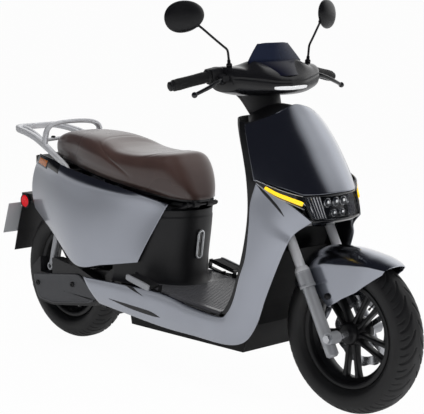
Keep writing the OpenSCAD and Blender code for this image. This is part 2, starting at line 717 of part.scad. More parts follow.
tail_end = -overall_length / 2 - mid_x;
tail_x = tail_end + 137;
tail_half = 86;
flap_half = 75;
flap = [[tail_x + 25, 500], [tail_end + 60, 462], [tail_end + 27, 366], [tail_end + 3.8, 287]];
lamp_box = [tail_end + 54, tail_end + 130, 436, 506];

module tail_cover() {
  corner = 34;
  low = 500;
  high = 650;
  color([0.08, 0.08, 0.085]) on_body() {
    translate([tail_x, 0, low]) linear_extrude(high - low) difference() {
      union() {
        translate([0, -tail_half + corner]) square([70, 2 * (tail_half - corner)]);
        translate([corner, -tail_half]) square([40, 2 * tail_half]);
        for (s = [-1, 1]) translate([corner, s * (tail_half - corner)]) circle(corner);
      }
      translate([wall, -tail_half + corner]) square([90, 2 * (tail_half - corner)]);
      translate([corner, -tail_half + wall]) square([60, 2 * (tail_half - wall)]);
      for (s = [-1, 1]) translate([corner, s * (tail_half - corner)]) circle(corner - wall);
    }
    side_plate(-flap_half, flap_half) polygon(concat(flap,
      [for (i = [3 : -1 : 0]) flap[i] + [-3.6, -1.2]]));
    difference() {
      translate([lamp_box[0], -flap_half, lamp_box[2]])
        cube([lamp_box[1] - lamp_box[0], 2 * flap_half, lamp_box[3] - lamp_box[2]]);
      side_plate(-flap_half - 1, flap_half + 1) polygon([[tail_x + 60, 489], [tail_x + 25, 500], flap[1], flap[1] + [-8, -30],
        [tail_end + 170, 420]]);
    }
  }
}

module tail_lamps() {
  color([0.75, 0.03, 0.04]) on_body() {
    translate([tail_x, 0, 585]) rotate([0, -90, 0]) linear_extrude(14) stadium(120, 20);
    both_sides() cross_pin(lamp_box[0] + 26, 478, flap_half, flap_half + 9, 25);
  }
}

module rear_indicators() {
  g = grow(facing(band(panel_low, panel_mid, panel_high, 5, 3, 0.03, 0.15, 0.84, 0.97), [0, 1, 0]), 0.5);
  color([0.95, 0.45, 0.05]) on_body() both_sides() slab(grow(g, 7), g);
}

module number_plate() {
  lean = 19;
  color([0.6, 0.61, 0.62]) on_body() translate([tail_end + 31, 0, 414]) rotate([0, lean, 0])
    translate([-1, 0, 0]) difference() {
      cube([2, 260, 118], center = true);
      for (s = [-1, 1]) translate([0, 70 * s, 45]) rotate([0, 90, 0]) cylinder(h = 10, r = 3, center = true);
    }
}

// Luggage rack and grab rail

rack_foot = [-531, 138];
rack_end = [-884, 94];
rack_low = 622;
rack_bar = 24;
rack_leg = 16;
rack_t = 15;
rack_holes = 100;
rack_hole_r = 4.25;
rack_bow = [[-694, 110, 726], [-684, 86, 756], [-678, 45, 773]];

function both_ends(l) = concat(l, [for (i = [len(l) - 1 : -1 : 0]) [l[i][0], -l[i][1], l[i][2]]]);

module grab_rack() {
  run = rack_end - rack_foot;
  yaw = atan2(-run[1], -run[0]);
  l = norm(run);
  color([0.74, 0.75, 0.77]) on_body() {
    both_sides() translate([rack_foot[0], rack_foot[1], 0]) rotate([0, 0, yaw]) {
      side_plate(-rack_leg, 0) polygon([[6, rack_low], [6, 640], [-120, 728], [-140, 729.8], [-140, 728 - rack_t],
        [-124, 727 - rack_t], [-14, rack_low]]);
      side_plate(-rack_bar, 0) polygon([[-122, 728.2], [-l, 750], [-l, 750 - rack_t], [-124, 727 - rack_t]]);
    }
    difference() {
      translate([rack_end[0] - 4, -rack_end[1] + 10, 734]) cube([rack_bar, 2 * rack_end[1] - 20, rack_t]);
      for (s = [-1, 1]) translate([rack_end[0] - 4 + rack_bar / 2, s * rack_holes / 2, 730])
        cylinder(h = 30, r = rack_hole_r);
    }
    translate([-712, -110, 714]) cube([rack_bar, 220, 10]);
    bent_rod(both_ends(rack_bow), 9);
  }
}

module battery_packs() {
  pack = [128, 110, 222];
  color([0.2, 0.22, 0.24]) on_body() both_sides() translate([-246, 3, tray_z]) {
    cube(pack);
    for (x = [25, pack[0] - 25]) translate([x, pack[1] / 2, pack[2]]) cylinder(h = 14, r = 7);
    translate([12, pack[1] / 2 - 9, pack[2] + 12]) cube([pack[0] - 24, 18, 9]);
  }
}

// Handlebar

bar_mid = [262, 0, 962];
bar_in = [270, 175, 993];
bar_end = [242, 345, 962];
bar_dir = unit(bar_in - bar_end);
end_plug = 10;

// A left grip frame: Z runs inward along the bar from its end, X points down and Y forward
module on_grip() {
  on_body() translate(bar_end) rotate([0, acos(bar_dir[2]), atan2(bar_dir[1], bar_dir[0])]) children();
}

module handlebar() {
  clamp = [54, 56, 34];
  clamp_at = [10, 0, stem_top - 14];
  color([0.1, 0.1, 0.105]) {
    difference() {
      union() {
        on_body() both_sides() bent_rod([bar_mid, bar_in, bar_end], bar_d / 2);
        on_body() translate(bar_mid) sphere(bar_d / 2 + bend_bulge);
        on_body() both_sides() {
          rod([266, mirror_foot[1], 992], [mirror_foot[0], mirror_foot[1], 998], 8);
          translate([mirror_foot[0], mirror_foot[1], 988]) cylinder(h = mirror_foot[2] - side_gap - 988, r = mirror_boss);
        }
        on_steering() translate(clamp_at) cube(clamp, center = true);
      }
      on_steering() translate([0, 0, stem_top - 60]) cylinder(h = 60, r = stem_d / 2 + run_fit);
    }
    both_sides() on_grip() translate([0, 0, -end_plug]) cylinder(h = end_plug - side_gap, r = bar_d / 2 + 3);
    both_sides() on_grip() translate([0, 0, -end_plug]) cylinder(h = end_plug + 4, r = bar_d / 2);
  }
}

module grip_sleeve(gap) {
  difference() {
    union() {
      cylinder(h = grip_l, r1 = grip_d / 2 - 1, r2 = grip_d / 2);
      translate([0, 0, grip_l - 6]) cylinder(h = 6, r = grip_d / 2 + 4);
      for (i = [0 : 7]) translate([0, 0, 12 + i * 12]) cylinder(h = 5, r = grip_d / 2 + 0.8);
    }
    translate([0, 0, -1]) cylinder(h = grip_l + 2, r = bar_d / 2 + gap);
  }
}

module left_grip() {
  color([0.06, 0.06, 0.06]) on_grip() grip_sleeve(run_fit);
}

module throttle_grip() {
  color([0.06, 0.06, 0.06]) mirror([0, 1, 0]) on_grip() grip_sleeve(run_fit);
}

house_at = grip_l + 1.5;
house_l = 42;
house_r = 22;
house_down = 28;
house_round = 10;
lever_at = house_at + 26;
lever_fwd = 40;
lever_down = 14;
lever_r = 5.5;
lever_h = 11;
button_r = 7;
button_at = 14;

module soft_square(a, b, r) {
  translate([a[0] + r, a[1]]) square([b[0] - a[0] - 2 * r, b[1] - a[1]]);
  translate([a[0], a[1] + r]) square([b[0] - a[0], b[1] - a[1] - 2 * r]);
  for (x = [a[0] + r, b[0] - r]) for (y = [a[1] + r, b[1] - r]) translate([x, y]) circle(r);
}

module switch_housings() {
  color([0.09, 0.09, 0.095]) both_sides() on_grip() difference() {
    union() {
      translate([0, 0, house_at]) linear_extrude(house_l)
        soft_square([-house_r, -house_r - 3], [house_down, house_r + 2], house_round);
      translate([lever_down - 16, 0, lever_at - 14]) cube([10, lever_fwd + 9, 28]);
      translate([lever_down + lever_h / 2 + side_gap, 8, lever_at - 14]) cube([7, lever_fwd + 1, 28]);
      translate([lever_down - 20, lever_fwd, lever_at]) rotate([0, 90, 0]) cylinder(h = 38, r = 4);
    }
    translate([0, 0, house_at - 1]) cylinder(h = house_l + 2, r = bar_d / 2 + run_fit);
    translate([-4, -house_r - 8, house_at + button_at]) rotate([-90, 0, 0]) cylinder(h = 13, r = button_r + 0.4);
  }
}

module button() {
  translate([-4, -house_r - 7, house_at + button_at]) rotate([-90, 0, 0]) cylinder(h = 9, r = button_r);
}

module horn_button() {
  color([0.75, 0.72, 0.2]) on_grip() button();
}

module mode_button() {
  color([0.7, 0.1, 0.08]) mirror([0, 1, 0]) on_grip() button();
}

module lever() {
  on_grip() translate([lever_down, lever_fwd, lever_at]) difference() {
    union() {
      translate([-lever_h / 2, 0, 0]) rotate([0, 90, 0]) cylinder(h = lever_h, r = 10);
      bent_rod([[0, 0, 0], [0, 9, -30], [7, 20, -74], [16, 23, -128]], lever_r);
      translate([16, 23, -128]) sphere(9);
    }
    translate([-lever_h, 0, 0]) rotate([0, 90, 0]) cylinder(h = 2 * lever_h, r = 4 + run_fit);
  }
}

module brake_lever_left() {
  color([0.12, 0.12, 0.125]) lever();
}

module brake_lever_right() {
  color([0.12, 0.12, 0.125]) mirror([0, 1, 0]) lever();
}

// Handlebar cowl: half span, rear x, front x, low z, high z

cowl = [[0, 190, 396, 921, 993], [60, 196, 389, 921, 998], [105, 205, 371, 923, 1006], [145, 216, 350, 929, 1014],
  [168, 226, 330, 937, 1014], [176, 232, 320, 941, 1011]];
cowl_power = 0.72;
cowl_half = 176;

// a runs from -40, low at the front, over the nose and the top to 220, low at the back
function cowl_point(y, a) =
  let (c = curve(cowl, abs(y)), cx = (c[0] + c[1]) / 2, cz = (c[2] + c[3]) / 2)
  [cx + (c[1] - c[0]) / 2 * sign(cos(a)) * pow(abs(cos(a)), cowl_power), y,
    cz + (c[3] - c[2]) / 2 * sign(sin(a)) * pow(abs(sin(a)), cowl_power)];

module handlebar_cowl() {
  g = [for (i = [-12 : 12]) [for (j = [0 : 20]) cowl_point(cowl_half * sign(i) * pow(abs(i / 12), 0.8),
    -62 + 304 * j / 20)]];
  neck_low = 736;
  neck_top = 792;
  color([0.12, 0.12, 0.125]) {
    on_body() difference() {
      sheet(g, wall, [0, 0, 1]);
      both_sides() translate([mirror_foot[0], mirror_foot[1] - 4, 1000]) cylinder(h = 60, r = mirror_boss + 5, $fn = 24);
    }
    on_steering() rotate_extrude() polygon([[stem_d / 2 + run_fit, neck_top - 14], [stem_d / 2 + 6, neck_top - 14],
      [stem_d / 2 + 6, neck_top - 4], [56, neck_top - 4], [49, neck_low], [52, neck_low], [60, neck_top],
      [stem_d / 2 + run_fit, neck_top]]);
  }
}

// Screen rows: height, middle x, half width, edge set-back

screen = [[0, 381, 56, 12, 995], [0.3, 355, 84, 18, 1010], [0.55, 331, 108, 22, 1027], [0.8, 324, 96, 20, 1056],
  [1, 318, 80, 16, 1084]];

module wind_screen() {
  g = [for (i = [0 : 12]) let (c = curve(screen, i / 12))
    [for (j = [-8 : 8]) let (u = j / 8) [c[0] - c[2] * u * u, c[1] * u, c[3]]]];
  color([0.05, 0.06, 0.1, 0.8]) on_body() sheet(g, wall, [1, 0, 0.5]);
}

module position_light() {
  g = grow(facing([for (i = [-8 : 8]) [for (j = [0 : 3]) cowl_point(8.8 * i, -16 + 5 * j)]], [1, 0, 0]), 0.3);
  color([0.95, 0.95, 0.95]) on_body() slab(grow(g, 4), g);
}

// Mirrors

mirror_foot = [300, 172, 1018];
mirror_boss = 7;
mirror_kink = [300, 190, 1064];
mirror_joint = [258, 247, 1133];
mirror_mid = [252, 308, 1162];
mirror_toe = 20;

mirror_size = [24, 66, 45];

// A shallow bowl round the glass: rings from the rim to the back of the head
function mirror_ring(f) =
  let (a = 84 * f, k = cos(a))
  [for (i = [0 : 27]) let (b = 360 * i / 27.999)
    [mirror_size[0] * sin(a), mirror_size[1] * k * sign(cos(b)) * pow(abs(cos(b)), 0.86),
      mirror_size[2] * k * sign(sin(b)) * pow(abs(sin(b)), 0.86)]];

module mirror_arm() {
  color([0.06, 0.06, 0.065]) on_body() {
    bent_rod([mirror_foot + [0, 2, 6], mirror_kink, mirror_joint, mirror_joint + [8, 30, 12]], 4);
    translate(mirror_foot) cylinder(h = 12, r = 9, $fn = 6);
    translate(mirror_mid) rotate([-8, 0, mirror_toe]) loft([for (i = [0 : 7]) mirror_ring(i / 7)]);
  }
}

module mirror_left() {
  mirror_arm();
}

module mirror_right() {
  mirror([0, 1, 0]) mirror_arm();
}

// Swingarm drive unit

case_in = arm_out + 1;
case_out = 131;
arm_in = 70;
cover_line = [[-738, 234], [-478, 269], [-375, 204], [-414, 176], [-629, 143], [-711, 150]];

module swingarm() {
  arm_line = [[-312, 288], [-360, 292], [-640, 268], [-676, 254], [-676, 226], [-640, 212], [-360, 222],
    [-312, 236]];
  color([0.11, 0.11, 0.115]) on_body() difference() {
    union() {
      cross_pin(-pivot_back, pivot_z, -arm_out, arm_out, 24);
      both_sides() side_plate(arm_in, arm_out) polygon(arm_line);
      side_plate(-arm_in, arm_in) polygon([[-350, 286], [-392, 286], [-392, 240], [-350, 226]]);
      cross_pin(-356, 186, -66, 66, 48);
      side_plate(-case_out, -arm_out) polygon([[-700, 300], [-610, 306], [-470, 286], [-392, 262], [-360, 214],
        [-398, 168], [-629, 136], [-718, 142], [-746, 190], [-744, 262]]);
      both_sides() translate([shock_low[0], 0, 0]) {
        translate([-16, arm_in, 244]) cube([32, arm_out - arm_in, 30]);
        cross_pin(0, shock_low[2], arm_in, shock_y + 16, eye_pin_r);
      }
    }
    cross_pin(-pivot_back, pivot_z, -200, 200, pivot_r + run_fit);
    cross_pin(rear_x, wheel_r, -case_out + 14, 200, axle_r + run_fit);
    for (p = [[-709, 205], [-512, 227]]) cross_pin(p[0], p[1], -case_out - 1, -case_out + 12, 4);
    translate([shock_low[0] - 34, -case_out - 1, 246]) cube([68, case_out - arm_out + 1, 100]);
  }
}

module drive_cover() {
  color([0.24, 0.24, 0.25]) on_body() {
    side_plate(-case_out - 5, -case_out) polygon(cover_line);
    for (p = [[-709, 205], [-512, 227]]) cross_pin(p[0], p[1], -case_out - 9, -case_out - 5, 7);
  }
}

module rear_axle() {
  color([0.75, 0.76, 0.78]) on_body() on_axle(rear_x) {
    translate([0, 0, -case_out + 16]) cylinder(h = case_out - 16 + arm_out + 12, r = axle_r);
    translate([0, 0, arm_out]) cylinder(h = 12, r = 13, $fn = 6);
    translate([0, 0, disc_y]) cylinder(h = arm_in - disc_y, r = axle_r + 5);
    translate([0, 0, -arm_in]) cylinder(h = arm_in - hub_half - side_gap, r = axle_r + 5);
  }
}

module rear_caliper() {
  color([0.2, 0.2, 0.21]) on_body() on_axle(rear_x) rotate(-52) caliper(arm_in);
}

// Shock absorbers

shock_dir = unit(shock_top - shock_low);
shock_l = norm(shock_top - shock_low);
eye_r = 14;
eye_half = 10;
rod_r = 6;
tube_l = 180;
collar_at = 165;
rod_low = 100;
cup_at = shock_l - 46;

module on_shock() {
  on_body() translate(shock_low) rotate([0, acos(shock_dir[2]), atan2(shock_dir[1], shock_dir[0])]) children();
}

module shock_eye(x, z, gap) {
  difference() {
    cross_pin(x, z, shock_y - eye_half, shock_y + eye_half, eye_r);
    cross_pin(x, z, 0, 200, eye_pin_r + gap);
  }
}

module shock_rod() {
  color([0.12, 0.12, 0.125]) {
    on_body() shock_eye(shock_top[0], shock_top[2], run_fit);
    on_shock() {
      translate([0, 0, rod_low]) cylinder(h = cup_at + 4 - rod_low, r = rod_r);
      translate([0, 0, cup_at]) cylinder(h = 6, r = spring_d / 2 + 5);
      translate([0, 0, cup_at + 2]) cylinder(h = shock_l - cup_at - eye_r, r = 10);
    }
  }
}

module shock_tube() {
  color([0.74, 0.75, 0.77]) {
    on_body() shock_eye(shock_low[0], shock_low[2], 1.2);
    on_shock() difference() {
      union() {
        translate([0, 0, eye_r - 2]) cylinder(h = tube_l - eye_r + 2, r = damper_d / 2);
        translate([0, 0, collar_at - 5]) cylinder(h = 5, r = spring_d / 2 + 4);
      }
      translate([0, 0, 18]) cylinder(h = tube_l, r = rod_r + run_fit);
    }
  }
}

// The spring is one round wire that climbs in a helix between the collar and the cup

spring_low = collar_at + spring_wire / 2 + 0.4;
spring_high = cup_at - spring_wire / 2 - 0.4;
spring_pitch = (spring_high - spring_low) / spring_turns;
coil_steps = 8;
wire_sides = 6;

function spring_centre(t) = [spring_d / 2 * cos(360 * t), spring_d / 2 * sin(360 * t), spring_low + spring_pitch * t];
function spring_ring(t) =
  let (c = spring_centre(t), out = [cos(360 * t), sin(360 * t), 0],
    along = unit([-PI * spring_d * sin(360 * t), PI * spring_d * cos(360 * t), spring_pitch]), up = cross(out, along))
  [for (k = [0 : wire_sides - 1]) let (a = 360 * k / wire_sides)
    c + spring_wire / 2 * (cos(a) * out + sin(a) * up)];
spring_gap = min([for (i = [0 : coil_steps]) for (j = [0 : coil_steps * 2])
  norm(spring_centre(i / coil_steps + 1 + (j - coil_steps) / coil_steps / 4) - spring_centre(i / coil_steps))])
  - spring_wire;
echo(str("least gap between spring turns ", spring_gap));

module shock_spring() {
  color([0.6, 0.61, 0.63]) on_shock()
    loft([for (i = [0 : coil_steps * spring_turns]) spring_ring(i / coil_steps)]);
}

module shock_rod_left() {
  shock_rod();
}

module shock_rod_right() {
  mirror([0, 1, 0]) shock_rod();
}

module shock_tube_left() {
  shock_tube();
}

module shock_tube_right() {
  mirror([0, 1, 0]) shock_tube();
}

module shock_spring_left() {
  shock_spring();
}

module shock_spring_right() {
  mirror([0, 1, 0]) shock_spring();
}

// Seat: place, half width and height of the crown above the sloping base

seat_rise = 0.1437;
seat_line = [[-640, 46, 36], [-626, 68, 62], [-590, 90, 88], [-530, 113, 104], [-450, 134, 113], [-370, 143, 111],
  [-300, 144, 104], [-200, 138, 112], [-110, 120, 116], [-60, 101, 122], [-25, 80, 116], [0, 52, 98], [13, 24, 72]];
seat_base_z = seat_z - 187;
pan_t = 8;

function seat_floor(x) = seat_base_z - seat_rise * x;
function seat_ring(x) =
  let (c = curve(seat_line, x), z = seat_floor(x))
  concat([for (k = [0 : 16]) let (a = 180 * k / 16, s = sin(a), w = cos(a),
      tuck = 1 - 0.07 * pow(1 - s, 2), dish = x > -340 && x < -30 ? 7 * s * s * sin(180 * (x + 340) / 310) : 0)
    [x, c[0] * tuck * sign(w) * pow(abs(w), 0.55), z + c[1] * pow(s, 0.62) - dish * (1 - w * w)]]);

module seat_cushion() {
  n = 30;
  color([0.24, 0.2, 0.19]) on_body() loft([for (i = [0 : n])
    let (f = i / n, x = -640 + 653 * (f - 0.09 * sin(720 * f) / 2 / PI * 2)) seat_ring(x)]);
}

module seat_pan() {
  tilt = atan(seat_rise);
  inset = 0.9;
  plan = [for (c = seat_line) [c[0], c[1] * inset]];
  outline = concat(plan, [for (i = [len(plan) - 1 : -1 : 0]) [plan[i][0], -plan[i][1]]]);
  lug = [18, 42];
  color([0.1, 0.1, 0.105]) on_body() difference() {
    union() {
      translate([0, 0, seat_floor(0)]) rotate([0, tilt, 0]) translate([0, 0, -pan_t]) linear_extrude(pan_t)
        scale([1 / cos(tilt), 1]) polygon(outline);
      both_sides() {
        cross_pin(hinge[0], hinge[2], lug[0], lug[1], hinge_r + 5);
        translate([hinge[0] - 6, lug[0], hinge[2]]) cube([12, lug[1] - lug[0], 14]);
      }
    }
    cross_pin(hinge[0], hinge[2], -100, 100, hinge_r + run_fit);
  }
}

// Centre stand and passenger pegs

module centre_stand() {
  leg = 80;
  foot_at = [-398, leg, 168];
  color([0.1, 0.1, 0.105]) on_body() difference() {
    union() {
      cross_pin(stand[0], stand[2], -stand_half, stand_half, 12);
      both_sides() {
        rod([stand[0], leg, stand[2]], foot_at, 9);
        translate(foot_at + [-6, -12, -9]) cube([24, 26, 16]);
      }
      rod([-300, -leg, 174], [-300, leg, 174], 7);
    }
    cross_pin(stand[0], stand[2], -200, 200, stand_r + run_fit);
  }
}

module foot_peg() {
  size = [peg_l, 44, 2 * peg_barrel_r];
  color([0.15, 0.15, 0.155]) on_body() translate([peg_x, peg_y, peg_z]) rotate([0, peg_slope, 0]) difference() {
    union() {
      translate([-size[0] / 2, 0, -size[2] / 2]) cube(size);
      translate([-size[0] / 2, size[1] - 2, -size[2] / 2 - 2]) cube([size[0], 7, size[2] + 4]);
      rotate([0, 90, 0]) cylinder(h = peg_l, r = peg_barrel_r, center = true);
    }
    rotate([0, 90, 0]) cylinder(h = 2 * peg_l, r = peg_pin_r + run_fit, center = true);
  }
}

module foot_peg_left() {
  foot_peg();
}

module foot_peg_right() {
  mirror([0, 1, 0]) foot_peg();
}

main_frame();
headset_bearings();
front_apron();
side_skirt_right();
side_skirt_left();
inner_leg_shield();
underbody();
floorboard();
headlight_housing();
headlight_lens();
front_indicators();
seat_base_cover();
slot_trim();
side_panel_right();
side_panel_left();
tail_cover();
tail_lamps();
rear_indicators();
number_plate();
grab_rack();
battery_packs();
fork_crown();
handlebar();
handlebar_cowl();
wind_screen();
position_light();
left_grip();
switch_housings();
throttle_grip();
brake_lever_right();
brake_lever_left();
mirror_right();
mirror_left();
mode_button();
horn_button();
fork_legs();
front_fender();
front_axle();
front_caliper();
front_tyre();
front_rim();
front_disc();
swingarm();
drive_cover();
rear_axle();
rear_caliper();
rear_tyre();
rear_rim();
rear_disc();
shock_rod_right();
shock_rod_left();
shock_tube_right();
shock_tube_left();
shock_spring_right();
shock_spring_left();
seat_pan();
seat_cushion();
centre_stand();
foot_peg_right();
foot_peg_left();
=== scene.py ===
import math

import bpy
import numpy as np
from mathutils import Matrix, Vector


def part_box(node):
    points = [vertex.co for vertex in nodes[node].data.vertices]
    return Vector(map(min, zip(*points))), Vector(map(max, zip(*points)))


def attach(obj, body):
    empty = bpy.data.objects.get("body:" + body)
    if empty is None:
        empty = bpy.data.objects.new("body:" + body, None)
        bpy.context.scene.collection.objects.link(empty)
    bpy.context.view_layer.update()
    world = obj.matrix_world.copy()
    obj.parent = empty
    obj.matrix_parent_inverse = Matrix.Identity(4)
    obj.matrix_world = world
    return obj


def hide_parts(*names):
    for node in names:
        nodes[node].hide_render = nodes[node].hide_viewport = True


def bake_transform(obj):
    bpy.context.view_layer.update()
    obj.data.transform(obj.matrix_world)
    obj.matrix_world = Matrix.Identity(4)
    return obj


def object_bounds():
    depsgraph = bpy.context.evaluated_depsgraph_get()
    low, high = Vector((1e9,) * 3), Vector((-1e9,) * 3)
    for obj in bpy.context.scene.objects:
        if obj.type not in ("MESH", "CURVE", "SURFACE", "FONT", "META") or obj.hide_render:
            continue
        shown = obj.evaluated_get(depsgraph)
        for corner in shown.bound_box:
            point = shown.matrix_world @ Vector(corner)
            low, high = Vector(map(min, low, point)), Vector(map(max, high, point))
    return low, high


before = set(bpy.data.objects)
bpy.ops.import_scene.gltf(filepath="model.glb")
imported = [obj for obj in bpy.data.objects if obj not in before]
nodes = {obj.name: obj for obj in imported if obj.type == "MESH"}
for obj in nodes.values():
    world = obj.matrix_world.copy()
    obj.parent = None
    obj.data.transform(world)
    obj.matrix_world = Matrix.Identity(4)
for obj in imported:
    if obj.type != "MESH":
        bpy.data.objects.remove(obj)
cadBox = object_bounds()


def middleOf(node):
    low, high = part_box(node)
    return np.array((low + high) / 2)


frontHub = middleOf("front_tyre")
rearHub = middleOf("rear_tyre")
midX = (frontHub[0] + rearHub[0]) / 2  # the wheelbase's middle in the frame
wheelR = 1000 * frontHub[2]  # millimetres from here on
frontX = 1000 * (frontHub[0] - midX)
rearX = 1000 * (rearHub[0] - midX)
sides = (("right", -1), ("left", 1))
print("frame loaded,", len(nodes), "nodes")

# camera, fitted to the wheels and to left and right pairs of points
photo = {
    "width": 424,
    "focal": 1411.11,  # pixels
    "azimuth": 46.20,
    "elevation": 8.79,
    "distance": 4.57657,
    "target": (0.04367, 0.02364, 0.54171),
}


def addCamera():
    a = math.radians(photo["azimuth"])
    e = math.radians(photo["elevation"])
    back = Vector((math.sin(a) * math.cos(e), -math.cos(a) * math.cos(e), math.sin(e)))
    data = bpy.data.cameras.new("camera")
    data.sensor_width = 36
    data.lens = data.sensor_width * photo["focal"] / photo["width"]
    camera = bpy.data.objects.new("camera", data)
    bpy.context.scene.collection.objects.link(camera)
    camera.location = Vector(photo["target"]) + back * photo["distance"]
    camera.rotation_mode = "QUATERNION"
    camera.rotation_quaternion = (-back).to_track_quat("-Z", "Y")
    bpy.context.scene.camera = camera


addCamera()

# surfaces on grids: every shape below is an array of points in millimetres from the wheelbase's middle


def unit(v):
    v = np.asarray(v, float)
    return v / np.linalg.norm(v, axis=-1, keepdims=True)


def evenGrid(first, second):
    # two ranges of (start, end, count), crossed
    return np.meshgrid(np.linspace(*first), np.linspace(*second), indexing="ij")


def xyz(x, y, z):
    return np.stack(np.broadcast_arrays(x, y, z), -1)


def raised(flat, height):
    # points of a plane with a third coordinate
    return xyz(flat[..., 0], flat[..., 1], height)


def turned(a, b, angle):
    # a pair of coordinates turned from the first axis towards the second
    c, s = math.cos(angle), math.sin(angle)
    return a * c - b * s, a * s + b * c


def hermite(rows, t):
    # cubic pieces through rows of [t, values], with slopes from the neighbouring rows
    rows = np.asarray(rows, float)
    knots, values = rows[:, 0], rows[:, 1:]
    before = np.maximum(np.arange(len(rows)) - 1, 0)
    after = np.minimum(np.arange(len(rows)) + 1, len(rows) - 1)
    slopes = (values[after] - values[before]) / (knots[after] - knots[before])[:, None]
    t = np.asarray(t, float)
    i = np.clip(np.searchsorted(knots, t, side="right") - 1, 0, len(rows) - 2)
    h = (knots[i + 1] - knots[i])[..., None]
    s = (t - knots[i])[..., None] / h
    return (
        (2 * s**3 - 3 * s**2 + 1) * values[i]
        + (s**3 - 2 * s**2 + s) * h * slopes[i]
        + (3 * s**2 - 2 * s**3) * values[i + 1]
        + (s**3 - s**2) * h * slopes[i + 1]
    )


def columns(rows, t):
    # the same cubic, one array for each column of the table
    return np.moveaxis(hermite(rows, t), -1, 0)


def smoothPath(points, count):
    # a cubic through the points, walked at an even pace
    points = np.asarray(points, float)
    along = np.r_[0, np.cumsum(np.linalg.norm(np.diff(points, axis=0), axis=1))]
    return hermite(np.c_[along / along[-1], points], np.linspace(0, 1, count))


def bandPoints(curves, t, s):
    # a surface carried along three curves: t runs along them, s crosses them on a parabola
    a, m, b = (hermite(curve, t) for curve in curves)
    s = s[..., None]
    return (1 - s) * (1 - 2 * s) * a + 4 * s * (1 - s) * m + s * (2 * s - 1) * b


def lift(grid, out, by):
    # the grid moved along its own normals, on the side that out points to
    normals = unit(np.cross(np.gradient(grid, axis=0), np.gradient(grid, axis=1)) + 1e-12)
    middle = normals[grid.shape[0] // 2, grid.shape[1] // 2]
    return grid + np.sign(middle @ np.asarray(out, float)) * by * normals


def smoothStep(x):
    x = np.clip(x, 0, 1)
    return x * x * (3 - 2 * x)


def bell(x):
    return np.exp(-(x**2))


def power(x, p):
    return np.sign(x) * np.abs(x) ** p


def superRing(count, p):
    # a closed outline between a circle, p = 1, and a square, p = 0
    a = np.linspace(0, 2 * np.pi, count, endpoint=False)
    return np.c_[power(np.cos(a), p), power(np.sin(a), p)]


def flipY(grid, side):
    return grid * np.array([1, side, 1])


def sweep(path, ring, up, scale=1.0):
    # a ring of (side, up) points carried along a path, square to it
    path = np.asarray(path, float)
    along = unit(np.gradient(path, axis=0))
    side = unit(np.cross(along, np.asarray(up, float)))
    top = np.cross(side, along)
    size = ring[None] * (np.asarray(scale, float).reshape(-1, 1, 1) * np.ones((len(path), 1, 1)))
    return path[:, None] + size[..., :1] * side[:, None] + size[..., 1:] * top[:, None]


def lathe(profile, steps):
    # rows of (radius, height) turned round the Z axis
    profile = np.asarray(profile, float)
    a = np.linspace(0, 2 * np.pi, steps, endpoint=False)
    r = profile[:, None, 0]
    return xyz(r * np.cos(a), r * np.sin(a), profile[:, None, 1])


def ballProfile(r):
    a = np.linspace(0.05, np.pi - 0.05, 16)
    return np.c_[r * np.sin(a), -r * np.cos(a)]


def turnTo(grid, at, axis):
    # a shape about the Z axis laid along another axis
    w = unit(axis)
    u = unit(np.cross((0, 0, 1) if abs(w[2]) < 0.9 else (1, 0, 0), w))
    return np.asarray(at, float) + grid[..., :1] * u + grid[..., 1:2] * np.cross(w, u) + grid[..., 2:] * w


def crisp(profile, r, closed=False):
    # each corner of a profile becomes two points a little apart, so that smooth shading keeps the edge
    p = np.asarray(profile, float)
    back = np.roll(p, 1, axis=0) - p
    ahead = np.roll(p, -1, axis=0) - p
    reach = np.minimum(r, 0.4 * np.minimum(np.linalg.norm(back, axis=1), np.linalg.norm(ahead, axis=1)))[:, None]
    pairs = np.stack([p + reach * unit(back), p + reach * unit(ahead)], 1).reshape(-1, p.shape[1])
    return pairs if closed else np.r_[p[:1], pairs[2:-2], p[-1:]]


def rounded(outline, passes):
    # a closed outline whose corners are cut again and again
    p = np.asarray(outline, float)
    for _ in range(passes):
        after = np.roll(p, -1, axis=0)
        p = np.stack([0.75 * p + 0.25 * after, 0.25 * p + 0.75 * after], 1).reshape(-1, p.shape[1])
    return p


# how a grid closes: last row to first, last column to first, and flat ends
forms = {"sheet": (False, False, False), "loop": (True, False, False), "tube": (False, True, False),
         "solid": (False, True, True), "ring": (True, True, False)}


def gridFaces(grid, out, form):
    joinRows, joinColumns, closeEnds = forms[form]
    rows, cols = grid.shape[:2]
    index = np.arange(rows * cols).reshape(rows, cols)
    if joinRows:
        index = np.concatenate([index, index[:1]], 0)
    if joinColumns:
        index = np.concatenate([index, index[:, :1]], 1)
    quads = np.stack([index[:-1, :-1], index[1:, :-1], index[1:, 1:], index[:-1, 1:]], -1).reshape(-1, 4)
    points = grid.reshape(-1, 3)
    corners = points[quads]
    normals = np.cross(corners[:, 2] - corners[:, 0], corners[:, 3] - corners[:, 1])
    away = corners.mean(1) - points.mean(0) if out is None else np.asarray(out, float)
    if (normals * away).sum() < 0:
        quads = quads[:, ::-1]
    ends = []
    if closeEnds:
        for ring, inner in ((index[0], index[1]), (index[-1], index[-2])):
            p = points[ring[:cols]]
            outward = np.cross(p, np.roll(p, -1, axis=0)).sum(0) @ (p.mean(0) - points[inner[:cols]].mean(0)) > 0
            ends.append(ring[:cols] if outward else ring[:cols][::-1])
    return quads, ends


